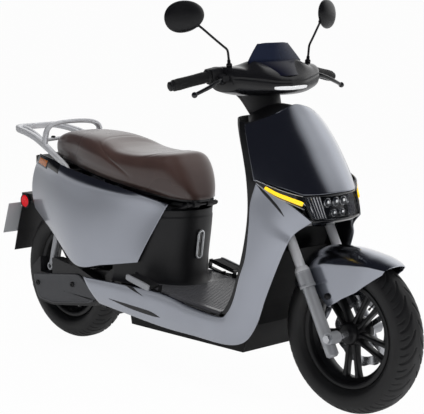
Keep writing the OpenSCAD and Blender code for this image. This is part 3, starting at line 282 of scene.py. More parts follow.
def addMesh(name, grids, out=None, form="sheet"):
    # one mesh from one grid or from a list of them, with its faces turned outwards
    grids = grids if isinstance(grids, list) else [grids]
    points, faces, smooth, start = [], [], [], 0
    for grid in grids:
        quads, ends = gridFaces(grid, out, form)
        points.append(grid.reshape(-1, 3) / 1000 + np.array([midX, 0, 0]))
        faces += (quads + start).tolist() + [(end + start).tolist() for end in ends]
        smooth += [True] * len(quads) + [False] * len(ends)
        start += points[-1].shape[0]
    mesh = bpy.data.meshes.new(name)
    mesh.from_pydata(np.concatenate(points).tolist(), [], faces)
    mesh.polygons.foreach_set("use_smooth", smooth)
    piece = bpy.data.objects.new(name, mesh)
    bpy.context.scene.collection.objects.link(piece)
    return piece


def addPiece(name, grids, body, finish, *stands, out=None, form="sheet", wall=0, edge=0, slot=None):
    # a mesh with its wall and rounded rims in millimetres, on its body, in the place of the solids it stands for
    piece = addMesh(name, grids, out, form)
    if wall:
        sheet = piece.modifiers.new("wall", "SOLIDIFY")
        sheet.thickness = wall / 1000
        sheet.offset = -1
    if edge:
        bevel = piece.modifiers.new("edge", "BEVEL")
        bevel.width = edge / 1000
        bevel.segments = 2
        bevel.limit_method = "ANGLE"
        bevel.angle_limit = math.radians(50)
    piece.data.materials.append(finishes[finish])
    if body:
        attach(piece, body)
    if stands:
        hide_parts(*stands)
    return piece


# finishes


def shade(r, g, b):
    # a colour as the eye reads it, 0 to 255, to the linear values that shaders take
    v = np.array([r, g, b]) / 255
    v = np.where(v < 0.04045, v / 12.92, ((v + 0.055) / 1.055) ** 2.4)
    return (float(v[0]), float(v[1]), float(v[2]), 1.0)


def setInputs(tree, node, inputs):
    # each input takes a value or another node's output
    for key, value in inputs.items():
        if isinstance(value, bpy.types.NodeSocket):
            tree.links.new(value, node.inputs[key])
        else:
            node.inputs[key].default_value = value


def wire(tree, kind, inputs, output, **settings):
    node = tree.nodes.new("ShaderNode" + kind)
    for key, value in settings.items():
        setattr(node, key, value)
    setInputs(tree, node, inputs)
    return node.outputs[output]


def mathOn(tree, operation, *values):
    return wire(tree, "Math", dict(enumerate(values)), "Value", operation=operation)


def newFinish(name):
    material = bpy.data.materials.new(name)
    material.use_nodes = True
    tree = material.node_tree
    return material, tree, tree.nodes["Principled BSDF"]


def objectPlace(tree, stretch=(1, 1, 1)):
    place = wire(tree, "TexCoord", {}, "Object")
    return wire(tree, "Mapping", {"Vector": place, "Scale": stretch}, "Vector")


def noiseOn(tree, where, size, detail=3.0):
    return wire(tree, "TexNoise", {"Vector": where, "Scale": size, "Detail": detail}, "Fac")


def cellsOn(tree, where, size, feature="F1"):
    return wire(tree, "TexVoronoi", {"Vector": where, "Scale": size}, "Distance", feature=feature)


def remap(tree, value, low, high, fromLow=0.3, fromHigh=0.7):
    ends = {"From Min": fromLow, "From Max": fromHigh, "To Min": low, "To Max": high}
    return wire(tree, "MapRange", {"Value": value, **ends}, "Result")


def blendColours(tree, value, first, second):
    return wire(tree, "Mix", {"A": first, "B": second, "Factor": value}, "Result", data_type="RGBA")


def bumpOn(tree, height, strength, distance, **under):
    return wire(tree, "Bump", {"Height": height, "Strength": strength, "Distance": distance, **under}, "Normal")


def makeFinish(name, rgb, rough, metal=0.0, coat=0.0, tone=0.1, toneSize=7.0, grain=0.15, grainSize=900.0,
               spread=0.05, stretch=(1, 1, 1), cells=False, alpha=1.0, glow=0.0):
    # a colour that drifts a little, a roughness that drifts with it, and a grain raised by bump
    material, tree, shader = newFinish(name)
    colour = shade(*rgb)
    dark, pale = (tuple(min(1.0, c * by) for c in colour[:3]) + (1.0,) for by in (1 - tone, 1 + tone))
    place = objectPlace(tree, stretch)
    drift = noiseOn(tree, place, toneSize)
    height = cellsOn(tree, place, grainSize) if cells else noiseOn(tree, place, grainSize, 2.0)
    setInputs(tree, shader, {
        "Base Color": blendColours(tree, remap(tree, drift, 0, 1), dark, pale),
        "Roughness": remap(tree, drift, rough - spread, rough + spread),
        "Metallic": metal, "Coat Weight": coat, "Coat Roughness": 0.04, "Alpha": alpha,
        "Normal": bumpOn(tree, height, grain, 0.0004),
    })
    if glow:
        setInputs(tree, shader, {"Emission Color": colour, "Emission Strength": glow})
    return material


# each finish: slot, none where only solids of the frame wear it, colour, roughness, what differs from a plain one
finishTable = {
    "greyPaint": ("body_grey", (168, 172, 182), 0.2,  # metallic, under a clear coat, with fine flakes
                  dict(metal=1.0, coat=1.0, tone=0.03, grain=0.02, grainSize=1800, cells=True, spread=0.02)),
    "blackPlastic": ("black_plastic", (24, 24, 26), 0.45, dict(tone=0.12, grain=0.25, grainSize=1400)),
    "glossBlack": ("black_plastic", (16, 17, 20), 0.12, dict(coat=0.6, grain=0.02, spread=0.03)),
    # a darker copy of the black plastic for the underbody: painted shade under the scooter
    "shadedUnderbodyBlack": (None, (11, 11, 12), 0.75, dict(tone=0.12, grain=0.25, grainSize=1400)),
    "satinBlack": ("black_plastic", (23, 23, 25), 0.36, dict(metal=0.3, tone=0.12, grain=0.12, grainSize=700)),
    "cowlBlack": ("black_plastic", (23, 23, 25), 0.2, dict(grain=0.05, grainSize=700, spread=0.03)),
    "floorRubber": ("floor_rubber", (78, 78, 81), 0.2, dict(tone=0.14, grain=0.35, grainSize=1100)),
    "gripRubber": ("grip_rubber", (24, 24, 25), 0.6, dict(tone=0.12, grain=0.3, grainSize=1500, cells=True)),
    "tyreRubber": ("tyre_black", (25, 25, 26), 0.52, dict(tone=0.14, toneSize=16, grain=0.25, grainSize=650)),
    "framePaint": (None, (28, 28, 30), 0.4, dict(tone=0.15, grain=0.1, grainSize=500)),
    "castGrey": ("dark_grey", (88, 89, 92), 0.45, dict(metal=0.4, grain=0.3, grainSize=520)),
    "rackSilver": ("silver", (222, 223, 226), 0.26, dict(metal=0.3, tone=0.05, grain=0.1)),
    "castSilver": ("silver", (178, 180, 184), 0.34, dict(metal=0.5, tone=0.06, grain=0.16, grainSize=420)),
    "turnedSteel": ("steel", (205, 207, 211), 0.2,
                    dict(metal=0.9, tone=0.06, grain=0.12, grainSize=90, stretch=(1, 1, 14))),
    "chrome": ("silver", (228, 230, 233), 0.1, dict(metal=1.0, tone=0.03, grain=0.02, spread=0.03)),
    "brightTrim": ("silver", (214, 216, 219), 0.16, dict(metal=0.6, tone=0.03, grain=0.04)),
    "plateGrey": (None, (205, 207, 210), 0.45, dict(tone=0.06, grain=0.12, grainSize=300)),
    "packCase": (None, (70, 73, 78), 0.5, dict(grain=0.3)),
    "eyeGlass": ("clear_lens", (40, 44, 52), 0.05, dict(coat=1.0, tone=0.05, grain=0.0, spread=0.02)),
    "mirrorGlass": ("steel", (190, 198, 206), 0.03, dict(metal=1.0, tone=0.01, grain=0.0, spread=0.01)),
    "clearLens": ("clear_lens", (40, 44, 50), 0.05, dict(coat=1.0, tone=0.01, grain=0.0, spread=0.02, alpha=0.07)),
    "whiteLens": ("white_lens", (240, 241, 242), 0.25, dict(coat=0.5, tone=0.01, grain=0.02, glow=0.35)),
    "amberBar": ("amber_lens", (255, 208, 40), 0.2,
                 dict(coat=0.6, tone=0.05, toneSize=60, grain=0.1, grainSize=240, glow=0.75)),
    "orangeLens": ("orange_lens", (232, 128, 30), 0.2,
                   dict(coat=0.6, tone=0.08, toneSize=60, grainSize=260, cells=True)),
    # it glows, which suits the tail lamp; on the side reflectors, which are no lamps, the glow is painted light
    "glowingRedLens": ("red_lens", (224, 4, 24), 0.3,
                dict(coat=0.2, tone=0.08, toneSize=40, grain=0.5, grainSize=330, cells=True, glow=0.4)),
    "hornYellow": (None, (206, 178, 60), 0.45, {}),
    "modeRed": (None, (178, 40, 34), 0.45, {}),
    "springSteel": ("steel", (150, 152, 156), 0.35, dict(metal=0.9, grain=0.1)),
}
slots = {name: row[0] for name, row in finishTable.items()}
finishes = {name: makeFinish(name, rgb, rough, **more) for name, (_, rgb, rough, more) in finishTable.items()}


def makeLeather():
    # brown grained cover: small cells with creases between them, over a slow drift of colour
    material, tree, shader = newFinish("brownLeather")
    place = objectPlace(tree)
    drift = noiseOn(tree, place, 5.0)
    pores = cellsOn(tree, place, 420.0, "DISTANCE_TO_EDGE")
    wrinkles = bumpOn(tree, noiseOn(tree, place, 60.0, 4.0), 0.04, 0.002)
    setInputs(tree, shader, {
        "Base Color": blendColours(tree, remap(tree, drift, 0, 1), shade(68, 51, 47), shade(82, 63, 58)),
        "Roughness": remap(tree, drift, 0.24, 0.32),
        "Sheen Weight": 0.45, "Sheen Roughness": 0.3, "Specular IOR Level": 0.7,
        "Coat Weight": 0.5, "Coat Roughness": 0.28,
        "Normal": bumpOn(tree, pores, 0.12, 0.0006, Normal=wrinkles),
    })
    return material


def makeScreenTint():
    # smoked sheet: nearly opaque navy below the crease, clearer above it
    material, tree, shader = newFinish("smokedScreen")
    z = wire(tree, "SeparateXYZ", {"Vector": wire(tree, "TexCoord", {}, "Object")}, "Z")
    height = remap(tree, z, 0, 1, 1.022, 1.034)
    setInputs(tree, shader, {
        "Base Color": blendColours(tree, height, shade(12, 14, 30), shade(34, 40, 58)),
        "Alpha": remap(tree, height, 0.995, 0.95, 0, 1),
        "Roughness": remap(tree, noiseOn(tree, objectPlace(tree), 25.0), 0.06, 0.12),
        "Specular IOR Level": 0.18,
    })
    return material


finishes["brownLeather"], slots["brownLeather"] = makeLeather(), "seat_brown"
finishes["smokedScreen"], slots["smokedScreen"] = makeScreenTint(), "smoke_lens"

# every solid of the frame, by the finish it wears
nodeFinish = {
    "framePaint": ["main_frame", "handlebar", "swingarm", "shock_rod_right", "shock_rod_left", "centre_stand"],
    "turnedSteel": ["headset_bearings", "front_axle", "rear_axle", "front_disc", "rear_disc"],
    # the underbody wears black plastic darkened as painted shade
    "shadedUnderbodyBlack": ["underbody"],
    "blackPlastic": ["seat_base_cover", "tail_cover", "inner_leg_shield", "handlebar_cowl", "seat_pan",
                     "switch_housings", "mirror_right", "mirror_left", "headlight_housing"],
    "floorRubber": ["floorboard"],
    "gripRubber": ["left_grip", "throttle_grip"],
    "glossBlack": ["brake_lever_right", "brake_lever_left"],
    "clearLens": ["headlight_lens"],
    "amberBar": ["front_indicators"],
    "orangeLens": ["rear_indicators"],
    "glowingRedLens": ["tail_lamps"],
    "whiteLens": ["position_light"],
    "plateGrey": ["number_plate"],
    "rackSilver": ["grab_rack", "fork_crown"],
    "castSilver": ["fork_legs", "shock_tube_right", "shock_tube_left", "slot_trim"],
    "packCase": ["battery_packs"],
    "castGrey": ["front_caliper", "rear_caliper", "drive_cover", "foot_peg_right", "foot_peg_left"],
    "satinBlack": ["front_rim", "rear_rim"],
    "tyreRubber": ["front_tyre", "rear_tyre"],
    "hornYellow": ["horn_button"],
    "modeRed": ["mode_button"],
    "springSteel": ["shock_spring_right", "shock_spring_left"],
    "brownLeather": ["seat_cushion"],
    "smokedScreen": ["wind_screen"],
    "greyPaint": ["front_apron", "side_skirt_right", "side_skirt_left", "side_panel_right", "side_panel_left",
                  "front_fender"],
}
for finishName, members in nodeFinish.items():
    for member in members:
        nodes[member].data.materials.clear()
        nodes[member].data.materials.append(finishes[finishName])
print("finishes made,", len(finishes))

shell = {"wall": 3, "edge": 1.2}  # painted and plastic skins

# painted front of the leg shield: rows of height, rear edge x, half width, nose x
apron = {
    "rows": [[600, 412, 196, 606], [650, 410, 196, 583], [690, 404, 195, 561], [753, 383, 188, 522],
             [800, 361, 177, 492], [843, 338, 162, 460], [872, 322, 140, 437], [900, 306, 104, 409]],
    "bulge": 3.2,
    "top": (900, 57),  # height in the middle, and drop to the corners
    "low": (650, 40),  # height in the middle, and rise to the corners
}


def shieldPoints(z, u):
    # at each height the plan is a flat-nosed arch from the rear edges to the nose
    rear, half, nose = columns(apron["rows"], z)
    return xyz(rear + (nose - rear) * (1 - np.abs(u) ** apron["bulge"]), half * u, z)


def apronTop(u):
    high, drop = apron["top"]
    return high - drop * u * u


def buildApron():
    v, u = evenGrid((0, 1, 60), (-1, 1, 120))
    u = u - 0.03 * power(u, 9)
    low, rise = apron["low"]
    low = low + rise * np.maximum(0, (np.abs(u) - 0.6) / 0.4)
    grid = shieldPoints(apronTop(u) + (low - apronTop(u)) * v, u)
    addPiece("apronShell", grid, "chassis", "greyPaint", "front_apron", out=(1, 0, 0), **shell)


buildApron()

# side skirt: wheel arch edge, middle and rider's edge, from the lamp down and back along the floor
skirt = {
    "front": [[0, 579, 109, 572], [0.08, 532, 132, 534], [0.14, 518, 150, 500], [0.26, 480, 160, 410],
              [0.36, 448, 166, 331], [0.47, 418, 171, 250], [0.55, 375, 177, 192], [0.63, 304, 181, 170],
              [0.76, 150, 183, 172], [0.88, -11, 181, 175], [1, -319, 172, 196]],
    "mid": [[0, 517, 158, 634], [0.08, 482, 177, 578], [0.14, 468, 184, 528], [0.26, 440, 188, 432],
            [0.36, 408, 190, 360], [0.47, 380, 191, 285], [0.55, 345, 192, 234], [0.63, 292, 193, 213],
            [0.76, 150, 194, 219], [0.88, -15, 193, 232], [1, -355, 186, 239]],
    "rear": [[0, 434, 195, 680], [0.08, 412, 196, 618], [0.14, 407, 196, 557], [0.26, 391, 195, 455],
             [0.36, 365, 194, 390], [0.47, 338, 191, 318], [0.55, 312, 190, 276], [0.63, 279, 190, 256],
             [0.76, 150, 189, 266], [0.88, -18, 188, 288], [1, -391, 184, 281]],
}


def skirtPoints(t, s, side):
    return flipY(bandPoints(skirt.values(), t, s), side)


# side panel: lower edge, widest line and upper edge, from the tail to the front tip
panel = {
    "low": [[0, -777, 92, 462], [0.25, -620, 126, 384], [0.5, -464, 158, 306], [0.75, -310, 160, 328],
            [1, -154, 145, 356]],
    "mid": [[0, -782, 98, 560], [0.25, -620, 146, 520], [0.5, -450, 172, 480], [0.75, -268, 165, 466],
            [1, -109, 133, 440]],
    "high": [[0, -735, 95, 662], [0.2, -620, 128, 654], [0.38, -511, 150, 637], [0.6, -312, 158, 610],
             [0.8, -159, 150, 587], [1, -49, 103, 556]],
    # t, s of the shoulder's crease, lean above it
    "shoulder": [[0, 0.95, 0], [0.2, 0.93, 1], [0.4, 0.92, 3], [0.6, 0.925, 4], [0.8, 0.94, 3], [1, 0.97, 1.5]],
    "soft": 0.012,  # how quickly the crease turns, in s
}


def panelPoints(t, s, side):
    # above a soft crease the skin leans in towards the seat, and below it swells a little
    grid = bandPoints((panel["low"], panel["mid"], panel["high"]), t, s)
    crease, lean = columns(panel["shoulder"], t)
    above = np.logaddexp(0, (s - crease) / panel["soft"]) * panel["soft"] / (1 - crease)
    grid[..., 1] += 0.5 * lean * bell((s - crease) / 0.1) - lean * np.minimum(above, 1.2)
    return flipY(grid, side)


for sideName, sideSign in sides:
    skirtGrid = skirtPoints(*evenGrid((0, 1, 200), (0, 1, 30)), sideSign)
    panelGrid = panelPoints(*evenGrid((0, 1, 160), (0, 1, 90)), sideSign)
    painted = {"out": (0, sideSign, 0), **shell}
    addPiece("skirtShell_" + sideName, skirtGrid, "chassis", "greyPaint", "side_skirt_" + sideName, **painted)
    addPiece("panelShell_" + sideName, panelGrid, "chassis", "greyPaint", "side_panel_" + sideName, **painted)

# front mudguard: angle round the hub, then the radius of crown, crease and lower edge, then half width
fender = {
    "plan": [[54.5, 272, 259, 244, 47], [57, 271, 255, 218, 54], [60, 269, 250, 192, 60],
             [66, 265.5, 240, 154, 65.5], [73, 261.5, 227, 134, 67], [79, 259.5, 219, 122, 67],
             [86, 258.5, 213, 112, 67], [94, 258.5, 210, 102, 67], [102, 262, 212, 96, 67],
             [111, 268, 217, 92, 67], [119, 270, 220, 94, 67], [125, 268, 220, 130, 67],
             [131, 264, 218, 164, 66], [138, 258, 214, 182, 65], [145, 254, 211, 197, 63]],
    "edge": math.radians(78),  # where the crown stops turning at its crease
    "share": 0.6,  # of the columns, on the crown
}


def buildFender():
    # an elliptic crown over the tyre down to a soft crease, then straight sides to the lower edge
    angle, k = evenGrid((fender["plan"][0][0], fender["plan"][-1][0], 130), (-1, 1, 121))
    crown, crease, low, half = columns(fender["plan"], angle)
    edge, share = fender["edge"], fender["share"]
    turn = np.minimum(1, np.abs(k) / share) * edge
    rise = (np.cos(turn) - np.cos(edge)) / (1 - np.cos(edge))
    r = crease + (crown - crease) * rise - (crease - low) * np.maximum(0, np.abs(k) - share) / (1 - share)
    y = half * np.sin(turn) / np.sin(edge) * np.sign(k)
    a = np.radians(angle)
    grid = xyz(frontX + r * np.cos(a), y, wheelR + r * np.sin(a))
    addPiece("fenderShell", grid, "fork_slider", "greyPaint", "front_fender", out=(0, 0, 1), **shell)


buildFender()
print("painted shells made")

# black cuts in the skirt, and one dark strip along a crease at its front that is painted shade, as pairs of edges in
# the skirt's own (t, s), and the way they stand proud of it
skirtGapsAndShade = {
    "notch": ([[0.945, 1.0], [0.933, 0.975], [0.922, 0.875], [0.903, 0.767]],
              [[0.926, 1.0], [0.92, 0.96], [0.914, 0.875], [0.903, 0.767]], (0, 1, 0)),
    "slit": ([[0.968, 0.383], [0.932, 0.383], [0.894, 0.375], [0.871, 0.283]],
             [[0.968, 0.375], [0.93, 0.258], [0.89, 0.25], [0.871, 0.275]], (0, 1, 0)),
    # painted shade: a dark strip where a crease at the skirt's front throws its shadow, not a cut
    "creaseShade": ([[0.003, 0.975], [0.017, 0.863], [0.029, 0.686], [0.04, 0.498], [0.047, 0.36]],
              [[0.003, 0.965], [0.0095, 0.83], [0.0205, 0.66], [0.033, 0.482], [0.046, 0.352]], (0.5, 0.85, 0)),
}
stripLift = 0.7


def skirtStrip(first, second, out, side):
    # between two smooth edges laid on the skirt
    k = np.linspace(0, 1, 7)[None, :, None]
    ts = smoothPath(first, 60)[:, None] * (1 - k) + smoothPath(second, 60)[:, None] * k
    return skirtPoints(ts[..., 0], ts[..., 1], side) + stripLift * np.array(out) * (1, side, 1)


# tail corner, laid on the panel: t range, s range, lift, wall, edge, finish, solid that it stands for
tailCorner = {
    "tailCap": ((0.0, 0.31, 30), (0.87, 1.0, 14), 0.8, 1.2, 0.4, "glossBlack"),
    "rearSignalRim": ((0.025, 0.16, 20), (0.84, 0.97, 10), 2.0, 2.0, 0.6, "glossBlack"),
    "rearSignal": ((0.035, 0.15, 20), (0.86, 0.95, 8), 3.2, 2.4, 1.0, "orangeLens", "rear_indicators"),
}

for sideName, sideSign in sides:
    gapsAndShade = [skirtStrip(*cut, sideSign) for cut in skirtGapsAndShade.values()]
    # the notch and the slit show real black plastic; the strip along the crease is painted shade
    addPiece("skirtGapsAndShade_" + sideName, gapsAndShade, "chassis", "blackPlastic", out=(0.3, sideSign, 0))
    for part, (spanT, spanS, by, wall, edge, *looks) in tailCorner.items():
        patch = lift(panelPoints(*evenGrid(spanT, spanS), sideSign), (0, sideSign, 0), by)
        addPiece(part + "_" + sideName, patch, "chassis", *looks, out=(0, sideSign, 0), wall=wall, edge=edge)

# deck between the side panels: part of their length, width, rise in the middle, drop below their edges
tailDeck = {"span": (0.0, 0.155), "narrow": 0.985, "crown": 9, "drop": 8}


def buildTailDeck():
    # a crowned plate from one panel's upper edge to the other's
    t, k = evenGrid((*tailDeck["span"], 20), (-1, 1, 40))
    grid = hermite(panel["high"], t) * xyz(1, k * tailDeck["narrow"], 1)
    grid[..., 2] += tailDeck["crown"] * (1 - k**2) - tailDeck["drop"]
    addPiece("tailDeck", grid, "chassis", "blackPlastic", out=(0, 0, 1), wall=3, edge=1.0)


buildTailDeck()

# rider's side of the leg shield: rows of height, edge x, half width, middle x
innerShield = {
    "rows": [[262, 272, 178, 262], [290, 300, 184, 274], [330, 326, 186, 288], [400, 352, 187, 300],
             [480, 376, 188, 312], [560, 392, 189, 318], [620, 396, 189, 314], [690, 388, 187, 302],
             [753, 366, 178, 280], [800, 345, 168, 258], [838, 326, 154, 238], [856, 314, 140, 228]],
    # where its turned-in edge meets the skirt and the apron: height, x, half width
    "edge": [[262, 300, 186], [290, 333, 187], [318, 348, 187.6], [355, 362, 189], [390, 375, 190.4],
             [455, 401, 191], [520, 412, 191.5], [557, 417, 191.5], [618, 422, 191.5], [650, 432, 190.5],
             [680, 440, 188], [700, 424, 181], [730, 414, 178], [760, 401, 174.5], [800, 381, 164.5],
             [830, 364, 155], [852, 366, 139]],
    "bulge": 2.6,
    "hole": (62, 726, 118),  # in the cap round the neck: radius, height on the steering axis, half angle
    "capRim": (0.94, 11, 0.965, 7),  # against the apron: part of its edge, drop, share of the width, set-back
    "pocket": (560, 690, 0.62, 1.6),  # seam of the glove box: low, high, share of the width, depth
}
steering = {"rake": math.radians(28), "offset": 24}
steerFoot = np.array([frontX - steering["offset"] * math.cos(steering["rake"]), 0,
                      wheelR - steering["offset"] * math.sin(steering["rake"])])


def onSteering(grid):
    # from the steering axis's frame, Z up the axis, to the scooter's
    x, z = turned(grid[..., 0], grid[..., 2], steering["rake"])
    return steerFoot + xyz(x, grid[..., 1], z)


def buildInnerShield():
    # at each height the plan is a shallow arch; the glove box shows as a fine groove round a rounded square
    z, u = evenGrid((262, 856, 150), (-1, 1, 90))
    side, half, middle = columns(innerShield["rows"], z)
    grid = xyz(side - (side - middle) * (1 - np.abs(u) ** innerShield["bulge"]), half * u, z)
    low, high, share, depth = innerShield["pocket"]
    square = (np.abs(u) / share) ** 6 + (np.abs(z - (low + high) / 2) / ((high - low) / 2)) ** 6
    grid[..., 0] += depth * bell((square ** (1 / 6) - 1) / 0.03)
    addPiece("innerShieldShell", grid, "chassis", "blackPlastic", "inner_leg_shield", out=(-1, 0, 0), **shell)


def buildShieldEdges():
    # straight across from the shield's sides to the painted skins
    z, f = evenGrid((263, 852, 120), (0, 1, 8))
    side, half, _ = columns(innerShield["rows"], z)
    x, wide = columns(innerShield["edge"], z)
    strip = xyz(side + (x - side) * f, half - 1 + (wide - half) * f, z)
    addPiece("shieldEdges", [strip, flipY(strip, -1)], "chassis", "blackPlastic", out=(-1, 0, 0), wall=2, edge=0.6)


def buildShieldCap():
    # straight across from the apron's upper edge to an open ring round the neck
    f, u = evenGrid((0, 1, 24), (-1, 1, 80))
    radius, height, reach = innerShield["hole"]
    a = np.radians(reach * u)
    part, drop, share, back = innerShield["capRim"]
    rim = shieldPoints(apronTop(u * part) - drop, u * part) * (1, share, 1) - xyz(back * (1 - u**4), 0, 0)
    ring = onSteering(xyz(radius * np.cos(a), radius * np.sin(a), height))
    cap = rim + (ring - rim) * f[..., None]
    cap[..., 2] += 2 * np.sin(np.pi * f)
    addPiece("shieldCap", cap, "chassis", "blackPlastic", out=(0, 0, 1), **shell)


buildInnerShield()
buildShieldEdges()
buildShieldCap()

# cover under the seat: rows of height, front x, half width, rear x
baseCover = {
    "rows": [[282, -22, 152, -330], [330, -21, 152, -330], [371, -20, 151, -320], [465, -6, 150, -300],
             [520, 1, 150, -300], [540, 2, 149, -300]],
    "power": 0.86,
    "flare": (282, 316, 15),  # foot, where the flare starts, reach
    "ledge": (508, 2.2),  # height and depth of the step under the upper edge
}


def coverPoints(z, a):
    # a half superellipse in plan, whose front swings out towards the floor
    front, half, rear = columns(baseCover["rows"], z)
    foot, start, reach = baseCover["flare"]
    step, inset = baseCover["ledge"]
    out = reach * np.clip((start - z) / (start - foot), 0, 1) ** 2.4 - inset * smoothStep((z - step) / 5)
    x = rear + (front + out - rear) * np.cos(a) ** baseCover["power"]
    return xyz(x, (half + 0.5 * out) * power(np.sin(a), baseCover["power"]), z)


def buildCover():
    z, w = evenGrid((282, 534, 90), (-1, 1, 141))
    grid = coverPoints(z, np.radians(82) * power(w, 0.9))
    addPiece("baseCoverShell", grid, "chassis", "blackPlastic", "seat_base_cover", out=(1, 0, 0), wall=3, edge=1.0)


buildCover()

# bright ring round the slot in the cover, with a dark recess behind it
slotRing = {"middle": (-11, 0, 418), "lean": math.atan2(14, 94), "half": 46, "r": 11, "wire": (3.6, 2.8)}


def stadiumPath(half, r, count):
    a = np.linspace(0, 2 * np.pi, count, endpoint=False)
    return np.stack([r * np.cos(a), r * np.sin(a) + np.sign(np.sin(a)) * (half - r)], -1)


def onCover(flat):
    # across and up the cover's leaning front, and out of it
    lean = slotRing["lean"]
    up = np.array([math.sin(lean), 0, math.cos(lean)])
    out = np.array([math.cos(lean), 0, -math.sin(lean)])
    return np.array(slotRing["middle"]) + flat[..., :1] * (0, 1, 0) + flat[..., 1:2] * up + flat[..., 2:] * out


def buildSlot():
    straight = slotRing["half"] - slotRing["r"]
    loop = stadiumPath(slotRing["half"], slotRing["r"], 120)
    ring = superRing(16, 0.8) * slotRing["wire"]
    inward = -unit(loop - np.clip(loop, (0, -straight), (0, straight)))
    band = raised(loop[:, None] + ring[None, :, :1] * inward[:, None], ring[:, 1] + 3)
    addPiece("slotRing", onCover(band), "chassis", "brightTrim", "slot_trim", form="ring")
    f = np.linspace(1, 0.02, 8)
    recess = raised(loop[:, None] * f[:, None], 1.6 - 0.8 * np.sin(np.pi * f))
    addPiece("slotRecess", onCover(recess), "chassis", "glossBlack", out=(1, 0, 0), form="loop")


buildSlot()

# ribbed rubber floor between the leg shield and the cover: its ends as (x, z), wide and narrow half, where it narrows
floorMat = {"front": (256, 255), "rear": (-150, 288.6), "half": (172, 157), "narrow": 14, "lift": 8, "pitch": 12.0,
            "rib": 1.8, "band": 0.86, "ribEnd": -20}


def buildFloorMat():
    # ribs run along the floor as half sine waves that fade at the ends and at the plain margins
    f, k = evenGrid((0, 1, 90), (-1, 1, 345))
    (x0, z0), (x1, z1) = floorMat["rear"], floorMat["front"]
    x = x0 + (x1 - x0) * f
    wide, slim = floorMat["half"]
    half = slim + (wide - slim) * smoothStep((x - floorMat["narrow"]) / 8)
    y = k * half
    inside = smoothStep((floorMat["band"] - np.abs(y) / wide) / 0.02)
    inside = inside * smoothStep((x - floorMat["ribEnd"]) / 12) * smoothStep((x1 - x) / 14 - 0.5)
    z = z0 + (z1 - z0) * f + floorMat["lift"]
    z = z + floorMat["rib"] * inside * (np.abs(np.sin(np.pi * y / floorMat["pitch"])) ** 0.5 - 1)
    z = z - 5 * smoothStep((np.abs(y) - half + 8) / 8)
    addPiece("floorMat", xyz(x, y, z), "chassis", "floorRubber", "floorboard", out=(0, 0, 1), wall=8)


buildFloorMat()
print("covers made")

# head lamp: height, corner x, half width and nose x at its lower and upper edge; rows of eyes as (ys, height, radius)
headLamp = {
    "rows": ((574, 578, 102, 606), (645, 548, 117, 585)),
    "bulge": 2.4,
    "eyes": (((-34, 0, 34), 622, 14.5), ((-19, 19), 591, 11.5)),
    "ribs": (0.5, 0.95, 6),  # folded reflectors at both ends: from, to, count
    "bezel": (2.6, 3.4),
}


def lampPoints(v, u, back):
    # the lens front, curved in plan, or a surface that far behind it
    low, high = (np.array(row) for row in headLamp["rows"])
    z, corner, half, nose = np.moveaxis(low + (high - low) * np.asarray(v, float)[..., None], -1, 0)
    return xyz(nose + (corner - nose) * np.abs(u) ** headLamp["bulge"] - back, half * u, z)


def buildLampGlass():
    ahead = (1, 0, 0)
    v, u = evenGrid((0, 1, 20), (-1, 1, 80))
    addPiece("lampLens", lampPoints(v, u, 0), "chassis", "clearLens", "headlight_lens", out=ahead, wall=2.5, edge=0.8)
    addPiece("lampPan", lampPoints(v, u, 24), "chassis", "glossBlack", "headlight_housing", out=ahead, wall=10)
    start, end, count = headLamp["ribs"]
    v, u = evenGrid((0.06, 0.94, 12), (start, end, 91))
    fold = np.abs((u - start) / (end - start) * count % 1 - 0.5) * 2
    ribs = [lampPoints(v, u * side, 10 + 9 * fold) for side in (-1, 1)]
    addPiece("lampReflectors", ribs, "chassis", "chrome", out=ahead)


def buildLampEyes():
    # a dome in a collar at each place, with a small glowing white core off its middle, up and towards the scooter's
    # right, that stands in part for the LED and in part for a painted highlight on the dome
    domes, rings, coreHighlights = [], [], []
    (bottom, *_), (top, *_) = headLamp["rows"]
    a = np.linspace(0, np.pi / 2, 10)
    for ys, z, r in headLamp["eyes"]:
        dome = np.c_[r * 0.82 * np.cos(a), r * 0.5 * np.sin(a)]
        collar = crisp([[r * 0.82, -10], [r * 0.82, 1], [r * 0.92, 3], [r, 1], [r, -10]], 0.6)
        for y in ys:
            nose = lampPoints((z - bottom) / (top - bottom), np.array(y / 110), 16 + 0.2 * r)
            domes.append(turnTo(lathe(dome, 32), nose, (1, 0, 0)))
            rings.append(turnTo(lathe(collar, 32), nose, (1, 0, 0)))
            # painted highlight: the glowing core sits where the dome's highlight falls
            coreHighlights.append(turnTo(lathe(dome * 0.4, 24), nose + (0.38 * r, -0.12 * r, 0.16 * r), (1, -0.3, 0.3)))
    addPiece("lampEyes", domes, "chassis", "eyeGlass", form="tube")
    addPiece("lampCollars", rings, "chassis", "chrome", out=(1, 0, 0), form="tube")
    addPiece("lampCoreHighlights", coreHighlights, "chassis", "whiteLens", form="tube")


def buildLampFrame():
    # a rounded bar round the lens's edge, and a lip under it that leaves room for the turning fork
    corners = np.array([[0, -1], [0, 1], [1, 1], [1, -1], [0, -1]], float)
    f = np.linspace(0, 1, 24)[:-1, None]
    loop = np.concatenate([a + (b - a) * f for a, b in zip(corners[:-1], corners[1:])])
    path = lampPoints(loop[:, 0], loop[:, 1], 0)
    ring = superRing(10, 0.8) * headLamp["bezel"]
    outward = unit(path - path.mean(0) + (60, 0, 0))
    aside = unit(np.cross(np.roll(path, -1, axis=0) - np.roll(path, 1, axis=0), outward))
    bezel = path[:, None] + ring[None, :, :1] * aside[:, None] + (ring[None, :, 1:] - 1) * outward[:, None]
    addPiece("lampBezel", bezel, "chassis", "glossBlack", form="ring")
    f, u = evenGrid((0, 1, 10), (-1, 1, 60))
    drop = xyz(-6 - (46 - 34 * u**2) * f, -18 * f * u, -3 - 22 * f**0.7 * (1 - 0.3 * u**2))
    chin = lampPoints(0 * f, u, 0) + drop
    addPiece("lampChin", chin, "chassis", "glossBlack", out=(1, 0, -1), wall=3, edge=1.0)


